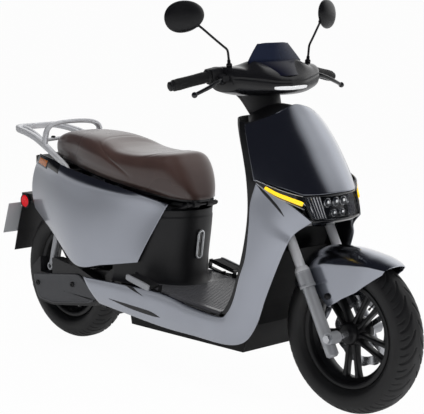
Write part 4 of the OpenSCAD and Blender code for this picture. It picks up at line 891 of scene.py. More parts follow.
buildLampGlass()
buildLampEyes()
buildLampFrame()

# front signals: a dark wedge beside the lamp with a bright bar in it, and thin bright lines along its edges
frontSignal = {
    "low": [[0, 560, 121, 609], [0.25, 526, 150, 628], [0.55, 494, 178, 647], [1, 436, 196, 682]],
    "high": [[0, 552, 119, 646], [0.25, 528, 147, 656], [0.55, 497, 176, 670], [1, 436, 196, 690]],
    "bar": ((0.015, 0.78), (6.8, 4.5), 0.37),  # span, half height and half depth, place between the edges
    "taper": ([0, 0.02, 0.05, 0.97, 1], [0.8, 0.95, 1, 0.72, 0.6]),
    "line": 1.1,
}


def signalPoints(t, s):
    low, high = hermite(frontSignal["low"], t), hermite(frontSignal["high"], t)
    return low + (high - low) * s


def buildFrontSignal(name, side):
    t, s = evenGrid((0, 1, 50), (0, 1, 10))
    wedge = flipY(signalPoints(t, s[..., None]), side)
    addPiece("signalWedge_" + name, wedge, "chassis", "glossBlack", out=(1, side, 0), wall=3, edge=1.0)
    span, size, share = frontSignal["bar"]
    path = flipY(signalPoints(np.linspace(*span, 50), share), side) + unit((1, side, 0.2)) * 1.5
    taper = np.interp(np.linspace(0, 1, 50), *frontSignal["taper"])
    bar = sweep(path, superRing(16, 0.6) * size, (1, side, 0.3), taper)
    addPiece("signalBar_" + name, bar, "chassis", "amberBar", "front_indicators", form="solid")
    lines = []
    for edge in ("low", "high"):
        path = flipY(hermite(frontSignal[edge], np.linspace(0, 1, 50)), side) + unit((1, side, 0)) * 1.2
        lines.append(sweep(path, superRing(8, 1) * frontSignal["line"], (0, 0, 1)))
    addPiece("signalTrim_" + name, lines, "chassis", "brightTrim", form="solid")


for sideName, sideSign in sides:
    buildFrontSignal(sideName, sideSign)
print("lamps made")

# handlebar cowl: rows of half span, rear x, front x, low z, high z
cowl = {
    "rows": [[0, 190, 396, 921, 993], [60, 196, 391, 921, 998], [105, 205, 377, 923, 1006],
             [145, 216, 360, 929, 1013], [175, 226, 345, 936, 1013], [190, 234, 332, 942, 1009]],
    "power": 0.72,
    "half": 190,
    "hood": (27, 316, 55, 85),  # height, place, length and half width
    "seam": (4.0, 1.6),  # angle and depth of the line between the upper and the lower cover
    "end": 9,  # length of the rounded ends
    "dash": ((112, 158, 24), 78, 1.2),
    "neck": [[47, 724], [49, 736], [52, 752], [56, 772], [61, 792], [70, 812], [84, 830]],
}


def cowlPoints(y, a):
    # a squared ellipse in side view, whose size follows the span, with a hood under the screen; a in degrees
    rear, front, low, high = columns(cowl["rows"], np.abs(y))
    a = np.radians(a)
    x = (rear + front) / 2 + (front - rear) / 2 * power(np.cos(a), cowl["power"])
    z = (low + high) / 2 + (high - low) / 2 * power(np.sin(a), cowl["power"])
    tall, at, long, half = cowl["hood"]
    hood = tall * bell((x - at) / long) * (1 - smoothStep((np.abs(y) - half) / 60))
    return xyz(x, y, z + hood * np.maximum(np.sin(a), 0) ** 0.5)


def buildCowl():
    # a closed skin with rounded ends and a fine line round it, the dash glass and the sleeve round the neck
    k, a = evenGrid((-1, 1, 121), (0, 357.5, 144))
    y = cowl["half"] * power(k, 0.8)
    grid = cowlPoints(y, a)
    middle = grid.mean(1, keepdims=True)
    close = np.clip((np.abs(y) - cowl["half"] + cowl["end"]) / cowl["end"], 0, 1)[..., None]
    at, depth = cowl["seam"]
    groove = depth * (bell(((a - at + 180) % 360 - 180) / 1.8) + bell(((a + at) % 360 - 180) / 1.8))
    size = np.linalg.norm(grid - middle, axis=-1, keepdims=True)
    grid = middle + (grid - middle) * (np.sqrt(1 - 0.75 * close**2) - groove[..., None] / size)
    addPiece("cowlShell", grid, "steering", "cowlBlack", "handlebar_cowl", form="solid")
    arc, half, by = cowl["dash"]
    a, y = evenGrid(arc, (-half, half, 50))
    glass = lift(cowlPoints(y, a), (-1, 0, 1), by)
    addPiece("dashGlass", glass, "steering", "glossBlack", out=(-1, 0, 1), wall=2.0, edge=0.6)
    neck = onSteering(lathe(smoothPath(cowl["neck"], 40), 72) * (1, 1.12, 1))
    addPiece("neckSleeve", neck, "steering", "blackPlastic", form="tube")


buildCowl()

# white position bar on the cowl's nose: half span, angles on the cowl, lift
positionBar = {"span": 70, "low": -16, "high": -3, "lift": 3.4}


def buildPositionBar():
    span, low, high = positionBar["span"], positionBar["low"], positionBar["high"]
    y, a = evenGrid((-1, 1, 60), (0, 1, 9))
    y = y * span
    ends = 0.45 + 0.55 * np.sqrt(np.clip(1 - (np.abs(y) / span) ** 3, 0, 1))
    angle = (low + high) / 2 + (high - low) * (a - 0.5) * ends
    grid = lift(cowlPoints(y, angle), (1, 0, 0), positionBar["lift"])
    addPiece("positionBar", grid, "steering", "whiteLens", "position_light", out=(1, 0, 0), wall=4, edge=1.2)


buildPositionBar()

# smoked screen: two sheets that meet in a crease; rows of t, middle x, half width, edge set-back, height
screen = {
    "lower": [[0, 390, 44, 7, 985], [0.5, 364, 82, 14, 1006], [1, 338, 116, 17, 1025]],
    "upper": [[0, 338, 116, 17, 1025], [0.5, 331, 91, 15, 1053], [1, 324, 64, 12, 1081]],
    "corner": 5,
}


def buildScreen():
    t, u = evenGrid((0, 1, 24), (-1, 1, 61))
    sheets = []
    for part in ("lower", "upper"):
        middle, half, back, high = columns(screen[part], t)
        sheets.append(xyz(middle - back * u**2, half * u, high))
    whole = np.concatenate([sheets[0], sheets[1][1:]])
    whole[-1, :, 2] -= screen["corner"] * np.abs(u[0]) ** 6
    addPiece("screenSheet", whole, "steering", "smokedScreen", "wind_screen", out=(1, 0, 0.5), wall=3, edge=1.0)


buildScreen()

# handlebar: the ends of its straight in the left half, and what sits on it
bar = {
    "end": (242.0, 345, 962),
    "in": (270.0, 175, 993),
    "grip": 128,  # length
    "gap": 1.5,  # from the grip to the switch block
    "plug": [[0.5, -14], [8, -13.4], [12.6, -11], [14.2, -6], [13.6, -2], [11, -0.8]],
    "block": 42,  # length
    "split": 23,  # where the block's two halves meet
    "perch": [[-2, 14, 26], [-3, 26, 27], [0, 40, 26], [0, 49, 26]],
    "keys": ((-13, 12), (8, 26)),  # rocker switches: down, along
    "lever": [[14, 40, 30], [14, 40, 20], [14, 49, -4], [21, 60, -48], [30, 63, -100]],
    "leverSize": ([0, 0.1, 0.35, 1], [0.7, 1.3, 1.0, 0.82]),
    "ball": 9,
}
barEnd, barIn = np.array(bar["end"]), np.array(bar["in"])
gripLength = bar["grip"]
houseAt = gripLength + bar["gap"]


def onGrip(grid, side):
    # Z runs inwards along the bar from its end, X points down and Y forward
    w = unit(barIn - barEnd)
    b, c = math.acos(w[2]), math.atan2(w[1], w[0])
    down = np.array([math.cos(b) * math.cos(c), math.cos(b) * math.sin(c), -math.sin(b)])
    ahead = np.array([-math.sin(c), math.cos(c), 0])
    return flipY(barEnd + grid[..., :1] * down + grid[..., 1:2] * ahead + grid[..., 2:] * w, side)


def buildGrip(name, side, body, stands):
    # a waisted sleeve with raised diamonds between a plain end and the flange
    z = np.linspace(0, gripLength, 161)
    r = 16.2 + 0.9 * np.cos(np.pi * z / gripLength) ** 2
    r = r + 4 * smoothStep((z - gripLength + 8) / 2.5) - 3 * np.clip(1 - z / 3, 0, 1) ** 2
    grid = lathe(np.c_[r, z], 72)
    a = np.linspace(0, 2 * np.pi, 72, endpoint=False)[None] * 9
    twist = z[:, None] * 0.26
    zone = smoothStep((z - 14) / 4) * smoothStep((gripLength - 16 - z) / 4)
    knurl = zone[:, None] * np.abs(np.sin(a + twist) * np.sin(a - twist)) ** 0.4
    grid[..., :2] *= 1 + 0.055 * knurl[..., None]
    addPiece("gripSleeve_" + name, onGrip(grid, side), body, "gripRubber", stands, form="solid")
    plug = lathe(smoothPath(bar["plug"], 24), 40)
    addPiece("barPlug_" + name, onGrip(plug, side), "steering", "satinBlack", form="tube")


def buildHouse(name, side):
    # a clamp block of squared rings with a split line, the lever's perch, and rocker switches on the rider's face
    z = np.linspace(0, bar["block"], 61)[:, None]
    middle = bar["block"] / 2
    shrink = 1 - 0.09 * (np.abs(z - middle) / middle) ** 4 - 0.035 * bell((z - bar["split"]) / 0.9)
    ring = superRing(64, 0.5) * (25, 24.5) + (3, -0.5)
    block = raised(ring[None] * shrink[..., None], houseAt + z)
    addPiece("switchBlock_" + name, onGrip(block, side), "steering", "blackPlastic", "switch_housings", form="solid")
    perch = np.array(bar["perch"], float) + (14, 0, houseAt)
    arm = sweep(smoothPath(perch, 20), superRing(20, 0.6) * (14, 9.5), (1, 0, 0), np.linspace(1.05, 0.9, 20))
    addPiece("leverPerch_" + name, onGrip(arm, side) + (0, 0, 4), "steering", "blackPlastic", form="solid")
    pad = superRing(24, 0.55)[None] * (6.0, 7.5) * np.array([1, 1, 0.93, 0.7])[:, None, None]
    out = np.array([0, 2.2, 3.2, 3.4])[:, None]
    keys = [onGrip(xyz(pad[..., 0] + down, -24.4 - out, pad[..., 1] + houseAt + along), side)
            for down, along in bar["keys"]]
    addPiece("rockers_" + name, keys, "steering", "castGrey", form="solid")


def buildLever(name, side):
    # a blade, flat and broad at the pivot, thin in the middle, ending in a ball
    path = smoothPath(np.array(bar["lever"]) + (0, 0, houseAt), 60)
    scale = np.interp(np.linspace(0, 1, 60), *bar["leverSize"])
    blade = sweep(path, superRing(20, 0.75) * (5.6, 6.2), (1, 0, 0), scale)
    ball = turnTo(lathe(ballProfile(bar["ball"]), 24), path[-1], path[-1] - path[-3])
    lever = [onGrip(blade, side), onGrip(ball, side)]
    addPiece("leverBlade_" + name, lever, "lever_" + name, "glossBlack", "brake_lever_" + name, form="solid")


gripNodes = {"right": ("throttle", "throttle_grip"), "left": ("steering", "left_grip")}  # body, solid
for sideName, sideSign in sides:
    buildGrip(sideName, sideSign, *gripNodes[sideName])
    buildHouse(sideName, sideSign)
    buildLever(sideName, sideSign)

# mirrors: stem through a kink, and an egg-shaped head with the glass towards the rider
mirrorShape = {
    "stem": [[300, 172, 1018], [300, 174, 1036], [299.5, 177, 1057], [298, 180, 1065], [294, 189, 1073],
             [284, 217, 1096], [272, 250, 1124], [267, 264, 1135], [263, 282, 1146]],
    "boot": [[8.5, -6], [9, 3], [7, 5], [5.2, 6.5], [5, 15], [3.4, 17]],
    "middle": (252, 308, 1162),
    "toe": math.radians(20),
    "roll": math.radians(-8),
    "size": (24, 63, 46.06),  # depth, half width, half height
    "point": 0.08,
}


def onMirror(grid, side):
    # rolled about X, turned in about Z and moved to the head's middle
    y, z = turned(grid[..., 1], grid[..., 2], mirrorShape["roll"])
    x, y = turned(grid[..., 0], y, mirrorShape["toe"])
    return flipY(xyz(x, y, z) + mirrorShape["middle"], side)


def eggRings(depth, share):
    # squared ellipses, narrower towards the stem, at each depth
    y, z = superRing(64, 0.97).T
    _, half, tall = mirrorShape["size"]
    share = share[:, None]
    return xyz(depth[:, None], half * y * share, tall * z * (1 + mirrorShape["point"] * y) * share)


def buildMirror(name, side):
    body = "mirror_" + name + "_head"
    a = np.radians(np.linspace(0, 84, 24))
    depth = np.r_[-1.0, -2.0, -2.2, -1.6, mirrorShape["size"][0] * np.sin(a)]
    bowl = onMirror(eggRings(depth, np.r_[0.93, 0.945, 0.97, 0.99, np.cos(a)]), side)
    addPiece("mirrorBowl_" + name, bowl, body, "satinBlack", "mirror_" + name, form="solid")
    glass = onMirror(eggRings(np.array([-1.6, -2.3, -2.6, -2.7]), np.array([0.935, 0.6, 0.25, 0.02])), side)
    addPiece("mirrorGlass_" + name, glass, body, "mirrorGlass", out=(-1, 0, 0), form="tube")
    path = flipY(smoothPath(mirrorShape["stem"], 60), side)
    rod = sweep(path, superRing(16, 1) * 3.5, (1, 0, 0.2))
    knob = turnTo(lathe(ballProfile(8), 24), path[-6], (0, 1, 0))
    boot = turnTo(lathe(crisp(mirrorShape["boot"], 0.8), 24), path[0], path[4] - path[0])
    addPiece("mirrorStem_" + name, [rod, knob, boot], body, "satinBlack", form="solid")


for sideName, sideSign in sides:
    buildMirror(sideName, sideSign)
print("handlebar made")

# tyre: half section from the bead to the crown; foot in millimetres above the bead, wall in shares of its height
tyre = {
    "foot": [[0.05, 33.45], [12, 33.45], [15, 38.5]],
    "wall": [[0.3, 50], [0.45, 54.4], [0.55, 55], [0.68, 53.4], [0.79, 48], [0.885, 38], [0.955, 27], [0.99, 18],
             [1.0, 9], [1.0, 0]],
    "bead": 152,
    "half": 55,
    "pairs": 30,
    "sweep": 0.3,  # how far a groove leans round the wheel, in radians
    "groove": (3.6, 4.4),  # half width and depth
    "steps": 880,
}


def tyreSection():
    bead = (tyre["bead"], 0)
    wall = np.array(tyre["wall"]) * (wheelR - tyre["bead"], 1)
    half = smoothPath(np.r_[np.array(tyre["foot"]) + bead, wall + bead], 44)
    return np.concatenate([half, half[-2::-1] * (1, -1)])


def buildTyre(name, x):
    # the section turned round the axle; grooves are cut where a point is near a leaning line on the tread
    section = tyreSection()
    turn = np.linspace(0, 2 * np.pi, tyre["steps"], endpoint=False)
    a, j = np.meshgrid(turn, np.arange(len(section)), indexing="ij")
    r, y = section[j, 0], section[j, 1]
    w = np.abs(y) / tyre["half"]
    pitch = 2 * np.pi / tyre["pairs"]
    width, depth = tyre["groove"]
    lean = tyre["sweep"] * (1 - w) ** 2 + np.where(y > 0, pitch / 2, 0)

    def cut(offset, start, end, broad):
        off = (a - offset - lean + pitch / 2) % pitch - pitch / 2
        half = broad * smoothStep((w - start) / 0.16) * smoothStep((end - w) / 0.1)
        return smoothStep((half - np.abs(off) * wheelR * 0.8) / 1.1)

    groove = np.maximum(cut(0, 0.08, 0.95, width), cut(0.5 * pitch, 0.5, 0.97, 0.6 * width))
    r = r - depth * smoothStep((r - wheelR + 34) / 6) * groove
    r = r + 0.7 * bell((r - wheelR + 44) / 1.6)  # fine ring on the side wall
    grid = xyz(x + r * np.cos(a), y, wheelR + r * np.sin(a))
    addPiece("tyreTread_" + name, grid, name + "_wheel", "tyreRubber", name + "_tyre", form="loop")


# rim: barrel section of (radius, half width), hub section, and five pairs of spokes of (radius, aside, width, depth)
rim = {
    "barrel": [[163, 37], [163, 33.5], [152, 33.5], [152, 22.5], [150, 18], [138, 12], [138, -12], [150, -18],
               [152, -22.5], [152, -33.5], [163, -33.5], [163, -37], [158, -37], [147, -35], [145, -19], [133, -13],
               [133, 13], [145, 19], [147, 35], [158, 37]],
    "hub": [[9, -32], [25, -32], [30, -30], [34, -24], [36, -12], [36, 14], [42, 26], [42, 42], [30, 43], [9, 43]],
    "spoke": [[26, 8, 19, 36], [48, 13, 14, 30], [80, 17, 13, 26], [110, 21, 14.5, 25], [128, 24, 18, 26],
              [137, 26, 24, 27]],
    "pairs": 5,
    "bolt": [[0.2, 4.2], [4.6, 4.2], [6.6, 2.4], [6.6, 0]],
    "boltAt": (34, 47),  # radius and place along the axle
    "valve": [[3.6, 0], [3.6, 10], [2.6, 11], [2.6, 26], [3.4, 27], [3.4, 34], [0.3, 34.5]],
    "valveAt": (134, 0.9),  # radius and angle
}


def onAxle(grid, x):
    # a shape about the Z axis put on an axle, its Z to the left
    return xyz(x + grid[..., 0], grid[..., 2], wheelR - grid[..., 1])


def spokeGrid(s, turn):
    # squared rings along a spoke that leans aside, turned to its place
    c = smoothPath(rim["spoke"], 30)
    ring = superRing(24, 0.55)
    path = xyz(c[:, 0], s * c[:, 1], 0)
    along = unit(np.gradient(path, axis=0))
    aside = xyz(-along[:, 1], along[:, 0], 0)
    grid = path[:, None] + ring[None, :, :1] * aside[:, None] * c[:, None, 2:3] / 2
    grid = grid + ring[None, :, 1:] * np.array([0, 0, 1]) * c[:, None, 3:4] / 2
    return xyz(*turned(grid[..., 0], grid[..., 1], turn), grid[..., 2])


def buildRim(name, x):
    body = name + "_wheel"
    black = {"slot": "rim_black"}
    barrel = onAxle(lathe(crisp(rim["barrel"], 1.2, True), 144), x)
    addPiece("rimBarrel_" + name, barrel, body, "satinBlack", name + "_rim", form="ring", **black)
    hub = onAxle(lathe(crisp(rim["hub"], 1.5), 64), x)
    addPiece("wheelHub_" + name, hub, body, "satinBlack", form="tube", **black)
    step = 360 / rim["pairs"]
    turns = [math.radians(90 + step * i) for i in range(rim["pairs"])]
    spokes = [onAxle(spokeGrid(s, turn), x) for turn in turns for s in (-1, 1)]
    addPiece("wheelSpokes_" + name, spokes, body, "satinBlack", form="solid", **black)
    caps = []
    radius, along = rim["boltAt"]
    for i in range(rim["pairs"]):
        turn = math.radians(step / 2 + step * i)
        place = np.array([radius * math.cos(turn), radius * math.sin(turn), along])
        caps.append(onAxle(lathe(crisp(rim["bolt"], 0.5), 6) + place, x))
    addPiece("discBolts_" + name, caps, body, "turnedSteel", out=(0, 1, 0), form="tube")
    radius, turn = rim["valveAt"]
    c, s = math.cos(turn), math.sin(turn)
    stem = turnTo(lathe(crisp(rim["valve"], 0.5), 16), (x + radius * c, 0, wheelR + radius * s), (-c, -0.25, -s))
    addPiece("tyreValve_" + name, stem, body, "gripRubber", form="tube")


for wheelName, wheelX in (("front", frontX), ("rear", rearX)):
    buildTyre(wheelName, wheelX)
    buildRim(wheelName, wheelX)
print("wheels made")

# fork: dust seals and rings as (radius, height on the steering axis), and the mudguard's bolts
fork = {
    "half": 92,
    "seal": [[15.2, 229], [18.2, 229], [20, 223], [22, 221], [23, 214], [23, 208]],
    "ring": [[23.2, 164], [24.6, 166], [24.6, 172], [23.2, 174]],
    "bolt": [[0.2, 6], [6, 6], [9.5, 3.5], [9.5, 0], [9.5, -3]],
    "boltAt": (606, 69, 352),
}


def buildFork():
    seals, rings, bolts = [], [], []
    for _, side in sides:
        leg = (0, side * fork["half"], 0)
        seals.append(onSteering(lathe(crisp(fork["seal"], 1.0), 40) + leg))
        rings.append(onSteering(lathe(crisp(fork["ring"], 0.5), 40) + leg))
        head = lathe(crisp(fork["bolt"], 0.8), 24)
        bolts.append(turnTo(head, np.array(fork["boltAt"]) * (1, side, 1), (0, side, 0)))
    addPiece("forkSeals", seals, "fork_slider", "rackSilver", form="tube")
    addPiece("forkRings", rings, "fork_slider", "castSilver", form="tube")
    addPiece("fenderBolts", bolts, "fork_slider", "satinBlack", form="tube")


buildFork()

# luggage rack: a broad rail and an inner strip on each side, a rear bar, the grab bow and a cross bar
rack = {
    "rail": [[-524, 137, 626], [-541, 136, 641], [-600, 130, 667], [-654, 123, 690], [-700, 117, 707],
             [-742, 112, 721], [-800, 105, 733], [-850, 99, 740], [-872, 88, 744], [-882, 66, 745]],
    "rear": [[-882, 70, 745], [-884, 40, 745], [-884, 0, 745]],
    "bow": [[-674, 120, 706], [-668, 121, 732], [-665, 116, 753], [-667, 98, 767], [-671, 60, 774], [-674, 0, 776]],
    "strip": [[-880, 60, 745], [-800, 80, 736], [-730, 97, 719], [-690, 108, 706]],
    "cross": [[-704, 112, 712], [-704, 0, 716]],
    "bar": (10, 11),  # half width and half height of the rails and the rear bar
    "bowBar": (7.5, 11.5),
    "stripBar": (6, 7),
    "crossBar": (11, 5.5),
    "grow": ([0, 0.12, 0.4, 1], [0.72, 0.8, 1, 1]),  # the rail's size along it
    "bolt": [[0.2, 6], [5, 6], [8, 3.5], [8, 0]],
    "boltAt": (-704, 60, 720),
}


def rackBar(points, count, size, up=(0, 0, 1), taper=1.0):
    return sweep(smoothPath(points, count), superRing(28, 0.62) * size, up, taper)


def mirrored(points):
    points = np.asarray(points, float)
    return np.concatenate([points, points[-2::-1] * (1, -1, 1)])


def buildRack():
    grow = np.interp(np.linspace(0, 1, 90), *rack["grow"])
    rail = rackBar(rack["rail"], 90, rack["bar"], taper=grow)
    strip = rackBar(rack["strip"], 40, rack["stripBar"])
    bars = [flipY(rail, -1), rail, rackBar(mirrored(rack["rear"]), 40, rack["bar"]),
            rackBar(mirrored(rack["bow"]), 110, rack["bowBar"], (1, 0, 0.2)), flipY(strip, -1), strip,
            rackBar(mirrored(rack["cross"]), 20, rack["crossBar"])]
    addPiece("rackCasting", bars, "chassis", "rackSilver", "grab_rack", form="solid")
    head = lathe(crisp(rack["bolt"], 0.8), 20)
    heads = [turnTo(head, flipY(np.array(rack["boltAt"]), side), (0, 0, 1)) for _, side in sides]
    addPiece("rackBolts", heads, "chassis", "satinBlack", out=(0, 0, 1), form="tube")


buildRack()

# drive cover: outline in side view, how far its corners reach, rows of (share of the outline, rise), and its bolts
driveCover = {
    "line": [[-738, 234], [-478, 269], [-375, 204], [-414, 176], [-629, 143], [-711, 150]],
    "corner": 34,
    "face": 131,
    "rows": [[1.0, 0.0], [1.0, 3.4], [0.985, 4.6], [0.965, 5.0], [0.93, 5.1], [0.9, 4.4], [0.88, 4.2], [0.5, 4.2],
             [0.02, 4.2]],
    "bolts": ((-709, 205), (-512, 227)),
    "bolt": [[0.2, 2.2], [4, 2.2], [4.2, 5.4], [7.6, 5.4], [9.5, 3.6], [9.5, 0]],
}


def buildDriveCover():
    # straight edges with rounded corners, drawn in step by step towards the middle while they rise to the face
    line = np.array(driveCover["line"], float)
    ahead = driveCover["corner"] * unit(np.roll(line, -1, axis=0) - line)
    outline = rounded(np.stack([line - np.roll(ahead, 1, axis=0), line, line + ahead], 1).reshape(-1, 2), 4)
    middle = line.mean(0)
    share, rise = np.array(driveCover["rows"]).T[..., None]
    flat = middle + (outline - middle)[None] * share[..., None]
    plate = xyz(flat[..., 0], -driveCover["face"] - rise, flat[..., 1])
    right = {"out": (0, -1, 0), "form": "tube"}
    addPiece("drivePlate", plate, "swing_unit", "castGrey", "drive_cover", **right)
    head = lathe(crisp(driveCover["bolt"], 0.6), 28)
    heads = [turnTo(head, (x, -driveCover["face"] - 4, z), (0, -1, 0)) for x, z in driveCover["bolts"]]
    addPiece("driveBolts", heads, "swing_unit", "gripRubber", slot="black_plastic", **right)


buildDriveCover()

# red reflectors at the tail's sides, and the tail lamp, both under the glowing red lens, so the reflectors glow with
# painted light; places are counted from the tail's end
tailEnd = 1000 * (cadBox[0][0] - midX)
tailLamps = {
    "reflector": (80, 75, 478),
    "lens": [[0.3, 9.6], [12.5, 9.2], [20, 8], [22, 6.5]],
    "rim": [[21.6, 5], [22.2, 8.6], [24.5, 8.6], [25.5, 7], [26, 0]],
    "lamp": (137, 585, 60, 20, 14),  # place, height, half width, half height, depth
    "rows": [[1.0, 0], [1.0, 0.6], [0.97, 0.8], [0.9, 0.9], [0.6, 0.97], [0.02, 1.0]],  # share of outline, of depth
}


def buildTailLamps():
    x, y, z = tailLamps["reflector"]
    lenses, rims = [], []
    for _, side in sides:
        spot = (tailEnd + x, side * y, z), (0, side, 0)
        lenses.append(turnTo(lathe(smoothPath(tailLamps["lens"], 20), 40), *spot))
        rims.append(turnTo(lathe(crisp(tailLamps["rim"], 0.6), 40), *spot))
    at, high, half, tall, deep = tailLamps["lamp"]
    share, depth = np.array(tailLamps["rows"]).T[..., None]
    flat = stadiumPath(half, tall, 96)[None] * share[..., None]
    lenses.append(xyz(tailEnd + at - depth * deep, flat[..., 1], high + flat[..., 0]))
    # the reflectors' glow is painted light
    addPiece("tailLenses", lenses, "chassis", "glowingRedLens", "tail_lamps", form="tube")
    addPiece("reflectorRims", rims, "chassis", "blackPlastic", form="tube")


buildTailLamps()

# springs of the shock absorbers, between the lower collar and the upper cup
shock = {"top": (-582, 106, 556), "low": (-664, 106, 268), "from": 168.5, "to": -49.5, "wire": 5.5, "coil": 38,
         "turns": 5}


def buildSpring(name, side):
    # a round wire along a helix about the damper
    top, low = np.array(shock["top"]), np.array(shock["low"])
    start, end = shock["from"], np.linalg.norm(top - low) + shock["to"]
    t = np.linspace(0, 1, 241)
    a = 2 * np.pi * shock["turns"] * t
    r = shock["coil"] / 2
    helix = xyz(r * np.cos(a), r * np.sin(a), start + (end - start) * t)
    coil = sweep(helix, superRing(12, 1) * shock["wire"] / 2, (0, 0, 1))
    grid = flipY(turnTo(coil, low, top - low), side)
    piece = addPiece("springWire_" + name, grid, None, "springSteel", "shock_spring_" + name, form="solid")
    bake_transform(piece)


# passenger pegs: a ribbed rubber block with a bright end of rows of (place past the block, size)
peg = {
    "at": (-75, 168, 312),
    "slope": math.radians(11.5),
    "half": 56,
    "tall": 8,
    "out": 42,
    "rib": 7.5,
    "end": [[0, 0.985], [1.0, 1], [5.5, 1], [6.6, 0.97], [7.0, 0.9]],
}


def onPeg(grid, side):
    x, z = turned(grid[..., 0], grid[..., 2], -peg["slope"])
    return flipY(xyz(x, grid[..., 1], z) + peg["at"], side)


def buildPeg(name, side):
    y = np.linspace(0.8, peg["out"], 120)[:, None]
    ring = superRing(60, 0.32) * (peg["half"] - 1, peg["tall"] - 0.6)
    ribs = 1 - 0.05 * (np.cos(y * 2 * np.pi / peg["rib"]) > 0.6)
    block = onPeg(xyz(ring[:, 0], y, ring[:, 1] * ribs), side)
    addPiece("pegRubber_" + name, block, "peg_" + name, "gripRubber", "foot_peg_" + name, form="solid")
    y, size = np.array(peg["end"]).T[..., None]
    ring = superRing(60, 0.3) * (peg["half"], peg["tall"] + 1.8)
    plate = onPeg(xyz(ring[:, 0] * size, peg["out"] + y, ring[:, 1] * size), side)
    addPiece("pegEnd_" + name, plate, "peg_" + name, "castSilver", form="solid")


for build in (buildSpring, buildPeg):
    for sideName, sideSign in sides:
        build(sideName, sideSign)
print("running gear made")

# seat: rows of place, half width and crown height above the sloping base
seat = {
    "line": [[-673, 0.5, 4], [-672, 40, 28], [-667, 66, 48], [-655, 83, 66], [-638, 92, 79],
             [-600, 104, 94], [-530, 117, 107], [-450, 134, 114], [-370, 143, 112], [-300, 144, 107],
             [-200, 138, 115], [-110, 122, 128], [-72, 111, 131], [-50, 102, 118], [-29, 90, 90],
             [-9, 72, 55], [5, 51, 27], [12, 30, 12], [14, 0.5, 3]],
    "base": (570, 0.1437),  # height at x = 0, and fall towards the front
    "dish": (-258, 150, 0.95, 6.0),  # the rider's place: x, half length, share of the width, depth
    "dishPower": 2.6,
    "crease": [[0, -185], [12, -243], [25, -304], [40, -345], [55, -385], [68, -412]],  # angle up the side, x
    "creaseDepth": 1.8,
    "rows": 240,
}


def seatPoints(c, a):
    # a squared arch over the base at each place along the seat; a runs from one lower edge over the top, in degrees
    x, half, tall = np.moveaxis(c, -1, 0)
    s, w = np.sin(np.radians(a)), np.cos(np.radians(a))
    y = half * (1 - 0.06 * (1 - s) ** 2) * power(w, 0.46)
    z = tall * np.abs(s) ** 0.52
    middle, long, broad, deep = seat["dish"]
    p = seat["dishPower"]
    oval = ((np.abs(x - middle) / long) ** p + (np.abs(y) / (broad * half)) ** p) ** (1 / p)
    z = z - deep * smoothStep((1.02 - oval) / 0.4) * s - 1.5 * bell((oval - 1.0) / 0.04) * s**3
    edge = np.minimum(a, 180 - a)
    off = x - np.interp(edge, *np.array(seat["crease"]).T)
    fade = smoothStep((66 - edge) / 12) * smoothStep((edge - 2) / 6) * smoothStep(half / 60)
    y = y - np.sign(w) * seat["creaseDepth"] * fade * (bell(off / 7) - 0.9 * smoothStep(-off / 40))
    base, fall = seat["base"]
    return xyz(x, y, base - fall * x + z)


def buildSeat():
    row, a = np.meshgrid(np.arange(seat["rows"]), np.linspace(0, 180, 121), indexing="ij")
    grid = seatPoints(smoothPath(seat["line"], seat["rows"])[row], a)
    piece = addPiece("seatCover", grid, "seat", "brownLeather", "seat_cushion", form="solid")


buildSeat()
print("seat made")

# studio: a white wall behind the left side, a pale floor, and dark walls and ceiling elsewhere
studio = {
    "wall": math.radians(104),
    "wallSpread": (0.47, 0.87),
    "wallTop": (0.55, 0.85),
    "horizon": (0.03, 0.11),
    "levels": (0.66, 0.018),  # below and above the horizon
    "dark": (0.002, 0.003, 0.01, 1),
    "floor": (2e5, -0.5),  # reach and height
    "seen": 0.972,  # share of plain white in the floor that the camera sees
    "mirrored": 0.32,  # and in the floor that shiny pieces show
}
softboxes = {  # place, aim, size, watts
    "topSoftbox": ((0.2, -0.6, 3.6), (0, 0, 0.4), (3.4, 2.6), 70),
    "frontSoftbox": ((3.4, -1.4, 2.4), (0.1, 0, 0.6), (2.2, 1.8), 45),
    "leftSoftbox": ((0.2, 3.4, 2.2), (0, 0, 0.5), (2.6, 1.8), 45),
}


def addArea(name, place, aim, size, watts):
    data = bpy.data.lights.new(name, "AREA")
    data.shape = "RECTANGLE"
    data.size, data.size_y = size
    data.energy = watts
    lamp = bpy.data.objects.new(name, data)
    bpy.context.scene.collection.objects.link(lamp)
    lamp.location = place
    lamp.rotation_mode = "QUATERNION"
    lamp.rotation_quaternion = (Vector(aim) - Vector(place)).to_track_quat("-Z", "Y")
    lamp.visible_glossy = False


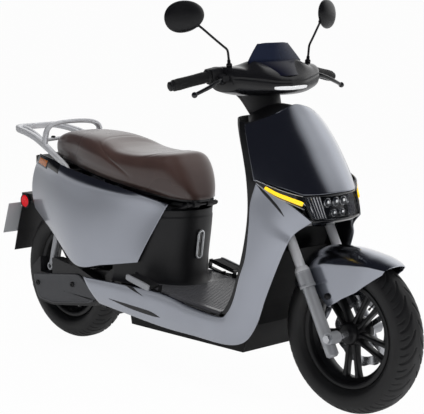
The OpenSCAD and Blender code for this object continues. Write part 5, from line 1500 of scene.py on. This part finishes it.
def addFloor():
    reach, height = studio["floor"]
    piece = addMesh("floor", xyz(*evenGrid((-reach, reach, 2), (-reach, reach, 2)), height), (0, 0, 1))
    material, tree, shader = newFinish("paleFloor")
    setInputs(tree, shader, {"Base Color": shade(240, 240, 241), "Roughness": 0.85})
    glow = wire(tree, "Emission", {"Strength": 1.0}, "Emission")
    seen = mathOn(tree, "MULTIPLY", wire(tree, "LightPath", {}, "Is Camera Ray"), studio["seen"])
    share = mathOn(tree, "MULTIPLY_ADD", wire(tree, "LightPath", {}, "Is Glossy Ray"), studio["mirrored"], seen)
    mix = wire(tree, "MixShader", {0: share, 1: shader.outputs["BSDF"], 2: glow}, "Shader")
    setInputs(tree, tree.nodes["Material Output"], {"Surface": mix})
    piece.data.materials.append(material)


def setWorld():
    # the wall's brightness falls with the angle to its middle and with height; the horizon closes the floor
    world = bpy.data.worlds.new("studio")
    bpy.context.scene.world = world
    world.use_nodes = True
    tree = world.node_tree
    place = wire(tree, "TexCoord", {}, "Generated")
    height = wire(tree, "SeparateXYZ", {"Vector": place}, "Z")
    horizon = remap(tree, height, *studio["levels"], *studio["horizon"])
    flat = wire(tree, "VectorMath", {0: place, 1: (1, 1, 0)}, "Vector", operation="MULTIPLY")
    level = wire(tree, "VectorMath", {0: flat}, "Vector", operation="NORMALIZE")
    aim = (math.cos(studio["wall"]), math.sin(studio["wall"]), 0)
    facing = wire(tree, "VectorMath", {0: level, 1: aim}, "Value", operation="DOT_PRODUCT")
    wide = remap(tree, facing, 0, 1, *studio["wallSpread"])
    tall = remap(tree, height, 1, 0, *studio["wallTop"])
    total = mathOn(tree, "MAXIMUM", horizon, mathOn(tree, "MULTIPLY", wide, tall))
    room = tree.nodes["Background"]
    setInputs(tree, room, {"Color": blendColours(tree, total, studio["dark"], (1, 1, 1, 1))})
    white = wire(tree, "Background", {"Color": (1, 1, 1, 1)}, "Background")
    seen = wire(tree, "LightPath", {}, "Is Camera Ray")
    mix = wire(tree, "MixShader", {0: seen, 1: room.outputs["Background"], 2: white}, "Shader")
    setInputs(tree, tree.nodes["World Output"], {"Surface": mix})


addFloor()
setWorld()
for boxName, box in softboxes.items():
    addArea(boxName, *box)
bpy.context.scene.view_settings.view_transform = "Standard"
print("studio set")
